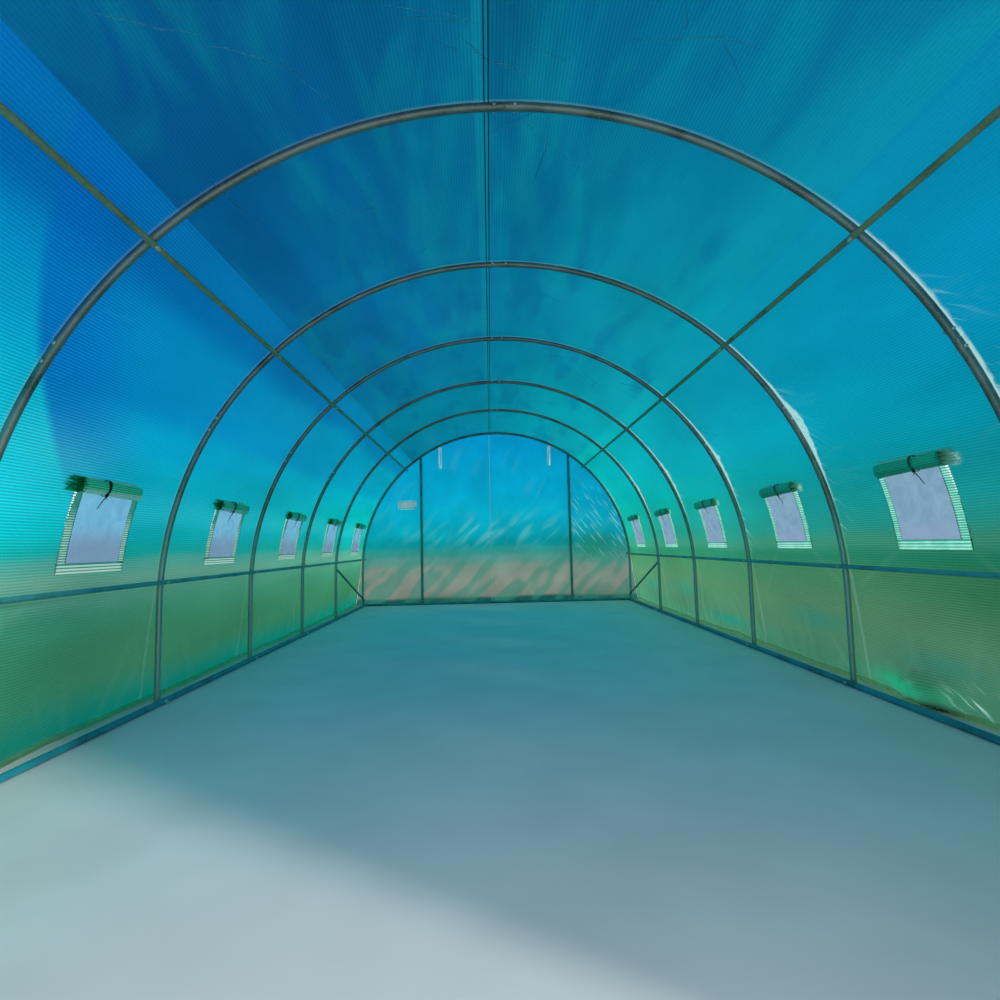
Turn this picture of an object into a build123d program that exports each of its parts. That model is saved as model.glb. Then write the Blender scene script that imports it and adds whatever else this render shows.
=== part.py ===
"""A garden polytunnel: steel hoops and rails, a seamed sheet cover with flap windows, and two end walls.

Millimetres. X runs across the tunnel, Y along it and Z is up. The origin is on the ground, at the
middle of the tunnel. The front end, at low Y, stands open with its door rolled up.
"""

import os
from math import acos, asin, atan2, cos, degrees, radians, sin, sqrt

from build123d import *

# Frame of hoops
hoop_radius = 1500  # centreline radius of the half-round top
leg_height = 420  # straight leg under it, from the ground up
inner_bay = 940  # between two inner hoops
inner_bays = 4
end_bay = 1120  # between an end hoop and its neighbour
hoop_tube = 25
joint_angles = (31.5, 90, 148.5)  # where a hoop's lengths plug together, up from the right-hand side
joint_neck = 8  # length of the drawn-in neck that shows at a joint
neck_draw = 1.2  # how far the neck is drawn in, all round
tube_sides = 8  # flats round a bent or flattened tube, one of them facing each way it bears
roll_sides = 16  # the same round a rolled sheet

# Tubes that tie the hoops together
rail_tube = 25
purlin_tube = 19
purlin_flat = 1.5  # depth of the flat that is pressed where a purlin crosses a hoop
flat_length = 44
waist_height = 517
shoulder_angle = 47.5
brace_tube = 19
brace_drop = 72  # from the waist rail down to a brace's upper bolt
brace_foot = 62  # height of its lower bolt
tab_thickness = 3  # flattened ends of a brace
tab_width = 24
tab_length = 22  # from the bolt to where the tube starts to flatten
tab_taper = 38
tab_hole = 6.5
post_tube = 25

# Sheet
sheet = 2
hem_flare = 67  # how far the sheet stands out at the ground, past where it lies on the hoops
seam_angle = 52  # seam between the side sheet and the roof sheet
doorway = 1680  # between the centrelines of the two door posts

# Windows
window_pitch = 1000
window_count = 6
window_width = 300
window_sill = 615
window_head = 868
window_shift = {"left": 120, "right": -10}  # how far the cover has slid towards the rear
mesh_sheet = 1
tape = 1  # thickness of the seam tape round a window
tape_width = 28
head_tape = 16
flap_length = 372
flap_roll_diameter = 54
flap_rise = 46  # from the window's head up to the middle of the rolled flap
flap_lip = 42  # how far the flap's sewn edge runs up past the middle of the roll
tie_width = 14
tie_band = 1.5

# Doors
door_roll_diameter = 90
roll_clear = 8  # between the rolled door's ends and the door posts
roll_slant = 45  # how steeply the rolled door lies under the hoop, seen from the side
strap_band = 1
strap_width = 20
strap_place = 620  # from the middle of the tunnel
strap_drop = 230

# Clearances
seat = 0.3  # between pieces that bear on each other
zip_gap = 0.6  # between two sheets that a zip joins

end_hoop = inner_bays / 2 * inner_bay + end_bay
hoop_places = [-end_hoop]
hoop_places += [(k - inner_bays / 2) * inner_bay for k in range(inner_bays + 1)]
hoop_places += [end_hoop]
window_places = [(k - (window_count - 1) / 2) * window_pitch for k in range(window_count)]

inside_hoop = hoop_radius - hoop_tube / 2 - seat  # radius at which a piece seats under a hoop
cover_inside = hoop_radius + hoop_tube / 2 + seat
cover_outside = cover_inside + sheet
run_end = end_hoop + hoop_tube / 2  # end of the long tubes
hem_reach = cover_inside + hem_flare  # from the middle of the tunnel to the hem
wall_plane = run_end + seat  # inner face of an end wall
cover_end = wall_plane + sheet
side_rail = inside_hoop - rail_tube / 2
end_rail = end_hoop - hoop_tube / 2 - seat - rail_tube / 2
post_place = doorway / 2

hem_slant = atan2(leg_height, hem_reach)
leave_angle = degrees(acos(cover_inside / sqrt(hem_reach**2 + leg_height**2)) - hem_slant)

sides = {"left": -1, "right": 1}
ends = {"front": -1, "rear": 1}

os.makedirs("parts", exist_ok=True)


def save(piece, label):
    piece.part.label = label
    export_step(piece.part, f"parts/{label}.step")


def around(radius, angle, side=1):
    """A point of the cross-section, at a radius and angle about the middle of the arch."""
    return side * radius * cos(radians(angle)), leg_height + radius * sin(radians(angle))


def cross_section(y):
    """The plane across the tunnel at y, with X to the right and Z up. It faces the front."""
    return Plane.XZ.offset(-y)


def flats(across, count, mode=Mode.ADD):
    """A tube's section as a polygon, with a flat facing each way it bears."""
    turn = 180 / count
    RegularPolygon(across / 2, count, major_radius=False, rotation=turn, mode=mode)


def bend(ring, size, start, y=0.0, mode=Mode.ADD):
    """A tube of that radius, width and count of flats carried round the arch, from an angle on."""
    radius, width, count = ring
    arch = (0, y, leg_height)
    across = (cos(radians(start)), 0, sin(radians(start)))
    along = (-sin(radians(start)), 0, cos(radians(start)))
    with BuildSketch(Plane(origin=arch, x_dir=across, z_dir=along)) as section:
        with Locations((radius, 0)):
            flats(width, count)
    revolve(section.sketch, axis=Axis(arch, (0, -1, 0)), revolution_arc=size, mode=mode)


def hoop(label, y):
    """Two straight legs and the half-round top, with a neck where each length plugs into the next."""
    neck_size = degrees(joint_neck / hoop_radius)
    ends_of_lengths = [0, *joint_angles, 180]
    with BuildPart() as tube:
        with BuildSketch():
            with Locations((-hoop_radius, y), (hoop_radius, y)):
                flats(hoop_tube, tube_sides)
        extrude(amount=leg_height)
        for low, high in zip(ends_of_lengths[:-1], ends_of_lengths[1:]):
            start = low + neck_size / 2 if low else low
            stop = high - neck_size / 2 if high < 180 else high
            bend((hoop_radius, hoop_tube, tube_sides), stop - start, start, y)
        for angle in joint_angles:
            neck = hoop_tube - 2 * neck_draw
            bend((hoop_radius, neck, tube_sides), neck_size, angle - neck_size / 2, y)
    save(tube, label)


def purlin(label, side, angle):
    """A tube along the inside of every hoop, pressed flat where it crosses one."""
    middle = inside_hoop + purlin_flat - purlin_tube / 2
    with BuildPart() as tube:
        with BuildSketch(cross_section(run_end)):
            with Locations(around(middle, angle, side)):
                Circle(purlin_tube / 2)
        extrude(amount=2 * run_end)
        for y in hoop_places:
            with BuildSketch(cross_section(y + flat_length / 2)):
                with Locations(around(inside_hoop + purlin_flat, angle, side)):
                    Rectangle(2 * purlin_flat, purlin_tube, rotation=side * angle)
            extrude(amount=flat_length, mode=Mode.SUBTRACT)
    save(tube, label)


def side_base_rail(label, side):
    """A tube on the ground, inside the feet of the hoops."""
    with BuildPart() as tube:
        with BuildSketch(cross_section(run_end)):
            with Locations((side * side_rail, rail_tube / 2)):
                Circle(rail_tube / 2)
        extrude(amount=2 * run_end)
    save(tube, label)


def end_base_rail(label, end):
    """A tube on the ground between the two side rails, inside the end hoop."""
    length = 2 * (side_rail - rail_tube / 2 - seat)
    with BuildPart() as tube:
        with BuildSketch(Plane.YZ.offset(-length / 2)):
            with Locations((end * end_rail, rail_tube / 2)):
                Circle(rail_tube / 2)
        extrude(amount=length)
    save(tube, label)


def door_post(label, side, end):
    """An upright in the end hoop, with its top cut to seat under the tube of the hoop."""
    y = end * end_hoop
    crown = leg_height + sqrt(hoop_radius**2 - post_place**2)
    start = degrees(acos((post_place + 2 * post_tube) / hoop_radius))
    stop = degrees(acos((post_place - 2 * post_tube) / hoop_radius))
    if side < 0:
        start, stop = 180 - stop, 180 - start
    with BuildPart() as tube:
        with BuildSketch():
            with Locations((side * post_place, y)):
                Circle(post_tube / 2)
        extrude(amount=crown)
        hollow = (hoop_radius, hoop_tube + 2 * seat, tube_sides)
        bend(hollow, stop - start, start, y, Mode.SUBTRACT)
    keep = tube.part.solids().sort_by(Axis.Z)[0]
    with BuildPart() as post:
        add(keep)
    save(post, label)


def corner_brace(label, side, end):
    """A slanting tube from the leg of the last inner hoop to the foot of the end hoop, with flat ends."""
    top_height = waist_height - brace_drop
    curve = hoop_radius - sqrt(hoop_radius**2 - max(0, top_height + tab_width / 2 - leg_height) ** 2)
    x = side * (inside_hoop - curve - tab_thickness / 2)
    top = Vector(x, end * (end_hoop - end_bay), top_height)
    foot = Vector(x, end * end_hoop, brace_foot)
    slope = (foot - top).normalized()
    run = (foot - top).length

    def flattened():
        tab = Rectangle(tab_thickness, tab_width)
        chamfer(tab.vertices(), tab_thickness / 4)

    def station(distance):
        return Plane(origin=top + slope * distance, x_dir=(1, 0, 0), z_dir=slope)

    first_taper = tab_length
    second_taper = run - tab_length
    with BuildPart() as tube:
        with BuildSketch(station(first_taper + tab_taper)):
            flats(brace_tube, tube_sides)
        extrude(amount=second_taper - first_taper - 2 * tab_taper)
        for wide, narrow in (
            (first_taper + tab_taper, first_taper),
            (second_taper - tab_taper, second_taper),
        ):
            with BuildSketch(station(wide)):
                flats(brace_tube, tube_sides)
            with BuildSketch(station(narrow)):
                flattened()
            loft(ruled=True)
        for start in (0, second_taper):
            with BuildSketch(station(start)):
                flattened()
            extrude(amount=tab_length)
        for centre in (top, foot):
            with BuildSketch(Plane(origin=centre, z_dir=(1, 0, 0))):
                Circle(tab_width / 2)
            extrude(amount=tab_thickness / 2, both=True)
            with BuildSketch(Plane(origin=centre, z_dir=(1, 0, 0))):
                Circle(tab_hole / 2)
            extrude(amount=tab_thickness, both=True, mode=Mode.SUBTRACT)
    save(tube, label)


def hem_point(radius, side=1):
    """Where a sheet that leaves the arch at that radius reaches the ground."""
    x, z = around(radius, leave_angle)
    return side * (x + z * sin(radians(leave_angle)) / cos(radians(leave_angle))), 0


def strip(inner, outer, low, high, side):
    """The cross-section of a curved sheet between two radii and two angles."""
    middle = (low + high) / 2
    with BuildLine() as outline:
        ThreePointArc(
            around(outer, low, side), around(outer, middle, side), around(outer, high, side)
        )
        Line(around(outer, high, side), around(inner, high, side))
        ThreePointArc(
            around(inner, high, side), around(inner, middle, side), around(inner, low, side)
        )
        Line(around(inner, low, side), around(outer, low, side))
    make_face(outline.edges())


def skirt(inner, outer, side):
    """The cross-section of the sheet below the place where it leaves the hoops."""
    with BuildLine() as outline:
        Polyline(
            around(outer, leave_angle, side),
            hem_point(outer, side),
            hem_point(inner, side),
            around(inner, leave_angle, side),
            close=True,
        )
    make_face(outline.edges())


def window_centre(y, side):
    return y + window_shift["right" if side > 0 else "left"]


def window_block(y, grow, side, mode):
    """A block through the sheet at a window, larger than the window by grow all round."""
    width = window_width + 2 * grow
    height = window_head - window_sill + 2 * grow
    with BuildSketch(Plane.YZ.offset(side * hem_reach)) as block:
        with Locations((window_centre(y, side), (window_sill + window_head) / 2)):
            Rectangle(width, height)
    extrude(block.sketch, amount=-side * hem_reach / 2, mode=mode)


def side_cover(label, side):
    """The side sheet, from its hem on the ground to the shoulder seam, with its window openings."""
    with BuildPart() as cover:
        with BuildSketch(cross_section(cover_end)):
            strip(cover_inside, cover_outside, leave_angle, seam_angle, side)
            skirt(cover_inside, cover_outside, side)
        extrude(amount=2 * cover_end)
        for y in window_places:
            window_block(y, 0, side, Mode.SUBTRACT)
    save(cover, label)


def roof_cover(label, side):
    """The roof sheet, from the shoulder seam to the ridge seam."""
    with BuildPart() as cover:
        with BuildSketch(cross_section(cover_end)):
            strip(cover_inside, cover_outside, seam_angle, 90, side)
        extrude(amount=2 * cover_end)
    save(cover, label)


def window_piece(side, inner, outer, grow, y):
    """A curved sheet the size of one window and grow more all round."""
    with BuildSketch(cross_section(y + window_width)) as section:
        strip(inner, outer, leave_angle, seam_angle, side)
        skirt(inner, outer, side)
    extrude(section.sketch, amount=2 * window_width)
    window_block(y, grow, side, Mode.INTERSECT)


def window_meshes(label, side):
    """The net that fills each window opening."""
    outer = cover_inside + mesh_sheet
    panels = []
    for y in window_places:
        with BuildPart() as panel:
            window_piece(side, cover_inside, outer, -seat, y)
        panels.append(panel.part)
    with BuildPart() as meshes:
        add(panels)
    save(meshes, label)


def window_frames(label, side):
    """The tape sewn round each window, on the inner face of the cover."""
    outer = cover_inside - seat
    frames = []
    for y in window_places:
        with BuildPart() as frame:
            window_piece(side, outer - tape, outer, tape_width, y)
            window_block(y, 0, side, Mode.SUBTRACT)
            trim = tape_width - head_tape
            with BuildSketch(Plane.YZ.offset(side * hem_reach)):
                with Locations((window_centre(y, side), window_head + tape_width)):
                    Rectangle(2 * window_width, 2 * trim)
            extrude(amount=-side * hem_reach / 2, mode=Mode.SUBTRACT)
        frames.append(frame.part)
    with BuildPart() as tapes:
        add(frames)
    save(tapes, label)


def flap_middle():
    """Radius and angle of the middle of a rolled window flap."""
    radius = cover_inside - seat - flap_roll_diameter / 2
    return radius, degrees(asin((window_head + flap_rise - leg_height) / radius))


def window_rolls(label, side):
    """The flap of each window, rolled up inside the cover and sewn to it along its upper edge."""
    radius, angle = flap_middle()
    outer = cover_inside - seat
    lip_angle = degrees(flap_lip / outer)
    with BuildPart() as rolls:
        for y in window_places:
            with BuildSketch(cross_section(window_centre(y, side) + flap_length / 2)):
                with Locations(around(radius, angle, side)):
                    flats(flap_roll_diameter, roll_sides)
                strip(outer - sheet, outer, angle, angle + lip_angle, side)
            extrude(amount=flap_length)
    save(rolls, label)


def window_ties(label, side):
    """The tape tied round each rolled flap, open where the flap is sewn to the cover."""
    radius, angle = flap_middle()
    inner = flap_roll_diameter / 2 + seat
    with BuildPart() as ties:
        for y in window_places:
            with BuildSketch(cross_section(window_centre(y, side) + tie_width / 2)):
                with Locations(around(radius, angle, side)):
                    flats(2 * (inner + tie_band), roll_sides)
                    flats(2 * inner, roll_sides, Mode.SUBTRACT)
                with Locations(around(cover_inside, angle, side)):
                    Rectangle(4 * sheet, flap_roll_diameter, rotation=side * angle, mode=Mode.SUBTRACT)
            extrude(amount=tie_width)
    save(ties, label)


def arch_face(radius):
    """The whole cross-section inside a sheet of that inner radius."""
    with BuildLine() as outline:
        ThreePointArc(
            around(radius, leave_angle), around(radius, 90), around(radius, leave_angle, -1)
        )
        Polyline(
            around(radius, leave_angle, -1),
            hem_point(radius, -1),
            hem_point(radius),
            around(radius, leave_angle),
        )
    make_face(outline.edges())


def wall_panel(label, end, low, high):
    """The part of an end wall between two places across the tunnel."""
    near = wall_plane if end > 0 else -cover_end
    with BuildPart() as panel:
        with BuildSketch(cross_section(near)):
            arch_face(cover_inside - seat)
            with Locations(((low + high) / 2, hoop_radius)):
                Rectangle(high - low, 2 * hoop_radius, mode=Mode.INTERSECT)
        extrude(amount=-sheet)
    save(panel, label)


def roll_ring():
    """Radius and inset of the middle of the rolled door, held against the front hoop by its straps."""
    reach = hoop_tube / 2 + 2 * seat + strap_band + door_roll_diameter / 2
    slant = radians(roll_slant)
    return hoop_radius - reach * sin(slant), reach * cos(slant)


def door_header(label):
    """The top of the front door sheet, between the cover's edge and the roll."""
    radius, _ = roll_ring()
    span = post_place - zip_gap / 2
    with BuildPart() as header:
        with BuildSketch(cross_section(-cover_end)):
            arch_face(cover_inside - seat)
            with Locations((0, leg_height)):
                Circle(radius, mode=Mode.SUBTRACT)
            with Locations((0, leg_height + hoop_radius)):
                Rectangle(2 * span, 2 * hoop_radius, mode=Mode.INTERSECT)
        extrude(amount=-sheet)
    save(header, label)


def rolled_door(label):
    """The front door sheet, rolled up under the arch between the posts."""
    radius, inset = roll_ring()
    span = degrees(acos((post_place - post_tube / 2 - roll_clear) / (radius + door_roll_diameter / 2)))
    with BuildPart() as roll:
        bend((radius, door_roll_diameter, roll_sides), 180 - 2 * span, span, inset - end_hoop)
    save(roll, label)


def roll_straps(label):
    """The two straps round the rolled front door."""
    radius, inset = roll_ring()
    size = degrees(strap_width / radius)
    inner = door_roll_diameter + 2 * seat
    y = inset - end_hoop
    with BuildPart() as straps:
        for place in (strap_place, -strap_place):
            start = degrees(acos(place / radius)) - size / 2
            bend((radius, inner + 2 * strap_band, roll_sides), size, start, y)
        for place in (strap_place, -strap_place):
            start = degrees(acos(place / radius)) - size
            bend((radius, inner, roll_sides), 2 * size, start, y, Mode.SUBTRACT)
    save(straps, label)


def hanging_straps(label):
    """The two straps that hang inside the closed rear door."""
    outer = wall_plane - seat
    with BuildPart() as straps:
        for place in (strap_place, -strap_place):
            top = leg_height + sqrt((inside_hoop - seat) ** 2 - (abs(place) + strap_width / 2) ** 2)
            with BuildSketch(cross_section(outer)):
                with Locations((place, top - strap_drop / 2)):
                    Rectangle(strap_width, strap_drop)
            extrude(amount=strap_band)
    save(straps, label)


for number, place in enumerate(hoop_places, start=1):
    hoop(f"hoop_{number}", place)

waist_angle = degrees(asin((waist_height - leg_height) / hoop_radius))
for name, side in sides.items():
    side_base_rail(f"{name}_base_rail", side)
    purlin(f"{name}_waist_rail", side, waist_angle)
    purlin(f"{name}_shoulder_purlin", side, shoulder_angle)
    side_cover(f"{name}_side_cover", side)
    roof_cover(f"{name}_roof_cover", side)
    window_meshes(f"{name}_window_meshes", side)
    window_frames(f"{name}_window_frames", side)
    window_rolls(f"{name}_window_rolls", side)
    window_ties(f"{name}_window_ties", side)

zip_edge = post_place + zip_gap / 2
for end_name, end in ends.items():
    end_base_rail(f"{end_name}_base_rail", end)
    wall_panel(f"{end_name}_wall_left", end, -hem_reach, -zip_edge)
    wall_panel(f"{end_name}_wall_right", end, zip_edge, hem_reach)
    for name, side in sides.items():
        door_post(f"{end_name}_{name}_door_post", side, end)
        corner_brace(f"{end_name}_{name}_brace", side, end)

wall_panel("rear_door", 1, -zip_edge + zip_gap, zip_edge - zip_gap)
hanging_straps("rear_door_straps")
door_header("front_door_header")
rolled_door("front_door_roll")
roll_straps("front_door_straps")
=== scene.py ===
"""How the polytunnel looks: sheets, nets, tapes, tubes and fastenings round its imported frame.

Metres. X runs across the tunnel, Y along it and Z is up. The front end, at low Y, stands open.
A place on the cover is given by two flat distances: across, from the ridge down (negative on the
left), and along, the same as Y.
"""

from math import acos, asin, atan2, cos, hypot, pi, sin, tan

import bpy
import numpy as np
from mathutils import Matrix, Vector


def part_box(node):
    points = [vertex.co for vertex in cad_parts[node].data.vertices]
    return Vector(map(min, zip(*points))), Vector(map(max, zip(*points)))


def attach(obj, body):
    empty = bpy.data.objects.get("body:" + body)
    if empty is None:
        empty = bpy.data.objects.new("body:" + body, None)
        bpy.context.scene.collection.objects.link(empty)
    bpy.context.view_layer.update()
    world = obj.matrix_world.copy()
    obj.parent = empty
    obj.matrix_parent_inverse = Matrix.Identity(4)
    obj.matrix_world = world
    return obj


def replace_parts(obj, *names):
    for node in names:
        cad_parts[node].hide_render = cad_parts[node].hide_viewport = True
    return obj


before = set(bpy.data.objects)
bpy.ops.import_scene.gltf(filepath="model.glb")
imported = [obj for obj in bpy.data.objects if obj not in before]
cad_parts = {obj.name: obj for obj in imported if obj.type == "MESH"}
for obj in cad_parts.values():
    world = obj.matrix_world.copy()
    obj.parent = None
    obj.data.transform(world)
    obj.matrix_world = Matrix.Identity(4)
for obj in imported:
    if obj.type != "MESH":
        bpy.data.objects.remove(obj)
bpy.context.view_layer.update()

# Sizes of the frame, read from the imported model
hoop_nodes = [f"hoop_{number}" for number in range(1, 8)]
hoop_low, hoop_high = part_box("hoop_1")
hoop_tube = (hoop_high.y - hoop_low.y) / 2
hoop_radius = (hoop_high.x - hoop_low.x) / 2 - hoop_tube
leg_height = hoop_high.z - hoop_tube - hoop_radius
hoop_places = [(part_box(node)[0].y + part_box(node)[1].y) / 2 for node in hoop_nodes]

sheet_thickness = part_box("rear_door")[1].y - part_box("rear_door")[0].y
sheet_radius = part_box("left_roof_cover")[1].z - leg_height - sheet_thickness / 2
side_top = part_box("right_side_cover")[1]
hem_reach = side_top.x - sheet_thickness / 2
cover_end = side_top.y
leave_angle = acos(sheet_radius / hypot(hem_reach, leg_height)) - atan2(leg_height, hem_reach)
seam_angle = asin((side_top.z - leg_height) / (sheet_radius + sheet_thickness / 2))
arc_length = sheet_radius * (pi / 2 - leave_angle)
leave_height = leg_height + sheet_radius * sin(leave_angle)
hem_distance = arc_length + leave_height / cos(leave_angle)
seam_distance = sheet_radius * (pi / 2 - seam_angle)
doorway_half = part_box("rear_door")[1].x
window_low, window_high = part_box("right_window_meshes")

# Sizes of the dressing
hoop_step = 0.007  # grid of the cover beside a hoop
bay_step = 0.0155  # and in the free part of a bay
hoop_reach = 0.07  # how far from a hoop the finer grid goes
across_step = 0.0125
rib_pitch = 0.0095
hem_width = 0.028
stitch_length = 0.006
stitch_pitch = 0.011
net_inset = 0.013  # how far inside the opening the visible net begins
tape_front = 0.036  # frayed tape at the side of a window nearest the front
tape_rear = 0.028
tape_foot = 0.036
tape_head = 0.012
window_drift = {("left", 2): 0.02, ("right", 2): 0.07}  # how far a window slid to the rear with its sheet
roll_shift = -0.05  # rolled flaps stand nearer the front than their windows
head_drop = {-1: 0.045, 1: 0.024}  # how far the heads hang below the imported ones, by side
sill_drop = {-1: 0.015, 1: 0.0}
ridge_seam = -0.047  # where the ridge seam lies, as the sheet was pulled over to the left
bunch_place = (2.74, -1.28)  # across and along of the sheet bunched at the foot of the right side
bunch_size = (0.070, 0.17)

sides = {"left": -1, "right": 1}
ends = {"front": -1, "rear": 1}


def srgb(red, green, blue):
    """A colour given in 0 to 255 as a painter reads it, in linear light."""
    return tuple(((c / 255 + 0.055) / 1.055) ** 2.4 if c > 10 else c / 3294.6 for c in (red, green, blue))


def tones(*rows):
    """Stops of a colour ramp, from rows of a place and a colour."""
    return [(place, srgb(*colour)) for place, *colour in rows]


def smooth(x):
    """A smooth step from 0 at 0 to 1 at 1."""
    x = np.clip(x, 0, 1)
    return x * x * (3 - 2 * x)


# Folds of the cover


def noise(across, along, cell, seed):
    """Seeded smooth noise over the flat sheet, from -1 to 1, with cells of that size in metres."""
    table = np.random.default_rng(seed).uniform(-1, 1, (128, 128))
    p = across / cell[0] + 61.3
    q = along / cell[1] + 57.7
    i = np.floor(p).astype(int)
    j = np.floor(q).astype(int)
    f = smooth(p - i)
    g = smooth(q - j)
    low = table[i % 128, j % 128] * (1 - f) + table[(i + 1) % 128, j % 128] * f
    high = table[i % 128, (j + 1) % 128] * (1 - f) + table[(i + 1) % 128, (j + 1) % 128] * f
    return low * (1 - g) + high * g


def distance_at(height):
    """How far down from the ridge the sheet is at that height."""
    if height > leave_height:
        return sheet_radius * (pi / 2 - asin((height - leg_height) / sheet_radius))
    return arc_length + (leave_height - height) / cos(leave_angle)


roll_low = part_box("right_window_rolls")[0]
sill_distance = distance_at(window_low.z)
head_distance = distance_at(window_high.z)
net_sill = {side: sill_distance - net_inset + sill_drop[side] for side in (-1, 1)}
open_sill = {side: net_sill[side] + tape_foot for side in (-1, 1)}
open_head = {side: distance_at(roll_low.z + 0.012) + head_drop[side] for side in (-1, 1)}


def spans_along(name, part, shift=0.0):
    """Where each window's solid of a node begins and ends along the tunnel, with its drift."""
    places = sorted({round(v.co.y, 4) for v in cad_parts[f"{name}_window_{part}"].data.vertices})
    drift = [shift + window_drift.get((name, number), 0.0) for number in range(1, len(places) // 2 + 1)]
    return [(low + d, high + d) for low, high, d in zip(places[::2], places[1::2], drift)]


windows = {name: spans_along(name, "meshes") for name in sides}
nets = {name: [(begin + net_inset, end - net_inset) for begin, end in windows[name]] for name in sides}
openings = {name: [(begin - tape_front, end + tape_rear) for begin, end in nets[name]] for name in sides}
roll_spans = {name: spans_along(name, "rolls", roll_shift) for name in sides}
roll_radius = roll_low.x + 0.027
roll_height = roll_low.z + 0.027


def slack(along):
    """0 where the sheet lies on a hoop, 1 in the free part of a bay."""
    gap = np.min(np.abs(along[..., None] - np.array(hoop_places)), axis=-1)
    return smooth((gap - hoop_tube) / 0.2)


def calm(across, along):
    """1 far from a window, less beside one, where the tapes hold the sheet flat."""
    keep = np.ones_like(across)
    down = np.abs(across)
    roll_top = head_distance - 0.16
    over = np.maximum(np.maximum(roll_top - down, down - sill_distance - 0.03), 0)
    for name, side in sides.items():
        for begin, end in windows[name]:
            beside = np.maximum(np.maximum(begin - 0.06 - along, along - end - 0.06), 0)
            gap = np.where(across * side > 0, np.hypot(over, beside), 9)
            keep = np.minimum(keep, smooth(gap / 0.16) * 0.9 + 0.1)
    return keep


def angle_down(angle):
    """Distance down from the ridge at an angle from the horizontal, in degrees."""
    return sheet_radius * (pi / 2 - angle * pi / 180)


# Sharp folds over the front half of the roof: breadth, then points by place along and angle, left over 90
roof_folds = [
    (0.0042, [(-2.422, 123.1), (-2.392, 122.0), (-2.363, 120.6), (-2.328, 119.2), (-2.299, 117.5),
              (-2.277, 116.6)]),
    (0.0030, [(-2.380, 117.8), (-2.342, 117.9), (-2.322, 117.7), (-2.300, 117.4)]),
    (0.0022, [(-2.390, 118.6), (-2.356, 118.6), (-2.325, 117.6)]),
    (0.0046, [(-2.250, 116.8), (-2.230, 115.4), (-2.189, 113.6), (-2.157, 112.5), (-2.114, 110.9)]),
    (0.0046, [(-2.114, 110.9), (-2.060, 109.9), (-2.015, 109.1), (-1.974, 107.9)]),
    (0.0024, [(-2.160, 111.4), (-2.116, 110.9), (-2.083, 110.0)]),
    (0.0028, [(-2.219, 101.3), (-2.189, 97.9), (-2.170, 95.1), (-2.153, 93.4)]),
    (0.0024, [(-2.183, 100.2), (-2.160, 96.2), (-2.144, 92.7)]),
    (0.0022, [(-2.121, 97.5), (-2.087, 95.9), (-2.069, 94.7)]),
    (0.0024, [(-2.121, 94.9), (-2.071, 93.1), (-2.033, 91.8)]),
    (0.0062, [(-2.076, 94.0), (-2.033, 91.8), (-2.006, 89.4), (-1.981, 88.1), (-1.948, 86.9)]),
    (0.0018, [(-2.086, 88.7), (-2.059, 86.1), (-2.035, 83.4)]),
    (0.0028, [(-1.854, 88.9), (-1.791, 86.9), (-1.726, 84.8), (-1.645, 81.3), (-1.610, 78.7),
              (-1.600, 76.1)]),
    (0.0020, [(-1.651, 78.7), (-1.640, 75.6), (-1.640, 72.6)]),
    (0.0024, [(-2.120, 78.6), (-2.150, 74.6), (-2.190, 70.6), (-2.200, 66.2)]),
    (0.0022, [(-2.200, 71.0), (-2.140, 68.2), (-2.070, 65.6)]),
    (0.0018, [(-2.260, 74.6), (-2.200, 73.6), (-2.150, 74.2)]),
]


def seeded_creases():
    """Tension folds that fan out from the hoops and window corners, and puckers above the hem."""
    random = np.random.default_rng(11)
    made = []
    for side in (-1, 1):
        for place in hoop_places:
            for _ in range(12 if side > 0 else 7):
                across = side * random.uniform(distance_at(1.38), distance_at(0.78))
                reach = random.uniform(0.08, 0.3) * random.choice((-1, -1, 1))
                drop = random.uniform(-0.2, 0.9) * abs(reach) * side
                start = (across, place + np.sign(reach) * 0.008)
                stop = (across + drop, place + reach)
                made.append((start, stop, random.uniform(0.0005, 0.0016), random.uniform(0.008, 0.014), 0.01))
        for place in np.arange(-cover_end + 0.1, cover_end - 0.05, 0.13):
            along = place + random.uniform(-0.05, 0.05)
            foot = (side * (hem_distance - 0.01), along)
            top = (side * (hem_distance - random.uniform(0.12, 0.38)), along + random.uniform(-0.16, 0.16))
            made.append((foot, top, random.uniform(-0.008, 0.009), random.uniform(0.014, 0.034), 0.02))
        for begin, end in windows["right" if side > 0 else "left"]:
            for corner, lean in ((begin, -1), (end, 1)):
                start = (side * (sill_distance + 0.03), corner + lean * 0.02)
                below = side * (sill_distance + random.uniform(0.12, 0.3))
                stop = (below, corner + lean * random.uniform(0.05, 0.3))
                made.append((start, stop, random.uniform(-0.003, 0.003), 0.018, 0.03))
    for _ in range(40):
        across = random.uniform(-0.85, 0.85)
        along = random.uniform(-cover_end, cover_end)
        turn = random.uniform(0, pi)
        reach = random.uniform(0.06, 0.26)
        stop = (across + reach * cos(turn), along + reach * sin(turn))
        made.append(((across, along), stop, random.uniform(0.0008, 0.002), random.uniform(0.008, 0.014), 0.0))
    return made


creases = seeded_creases()
crease_reach = np.array([[min(a, c) - 3 * w, max(a, c) + 3 * w, min(b, d) - 3 * w, max(b, d) + 3 * w]
                         for (a, b), (c, d), _, w, _ in creases])


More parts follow.
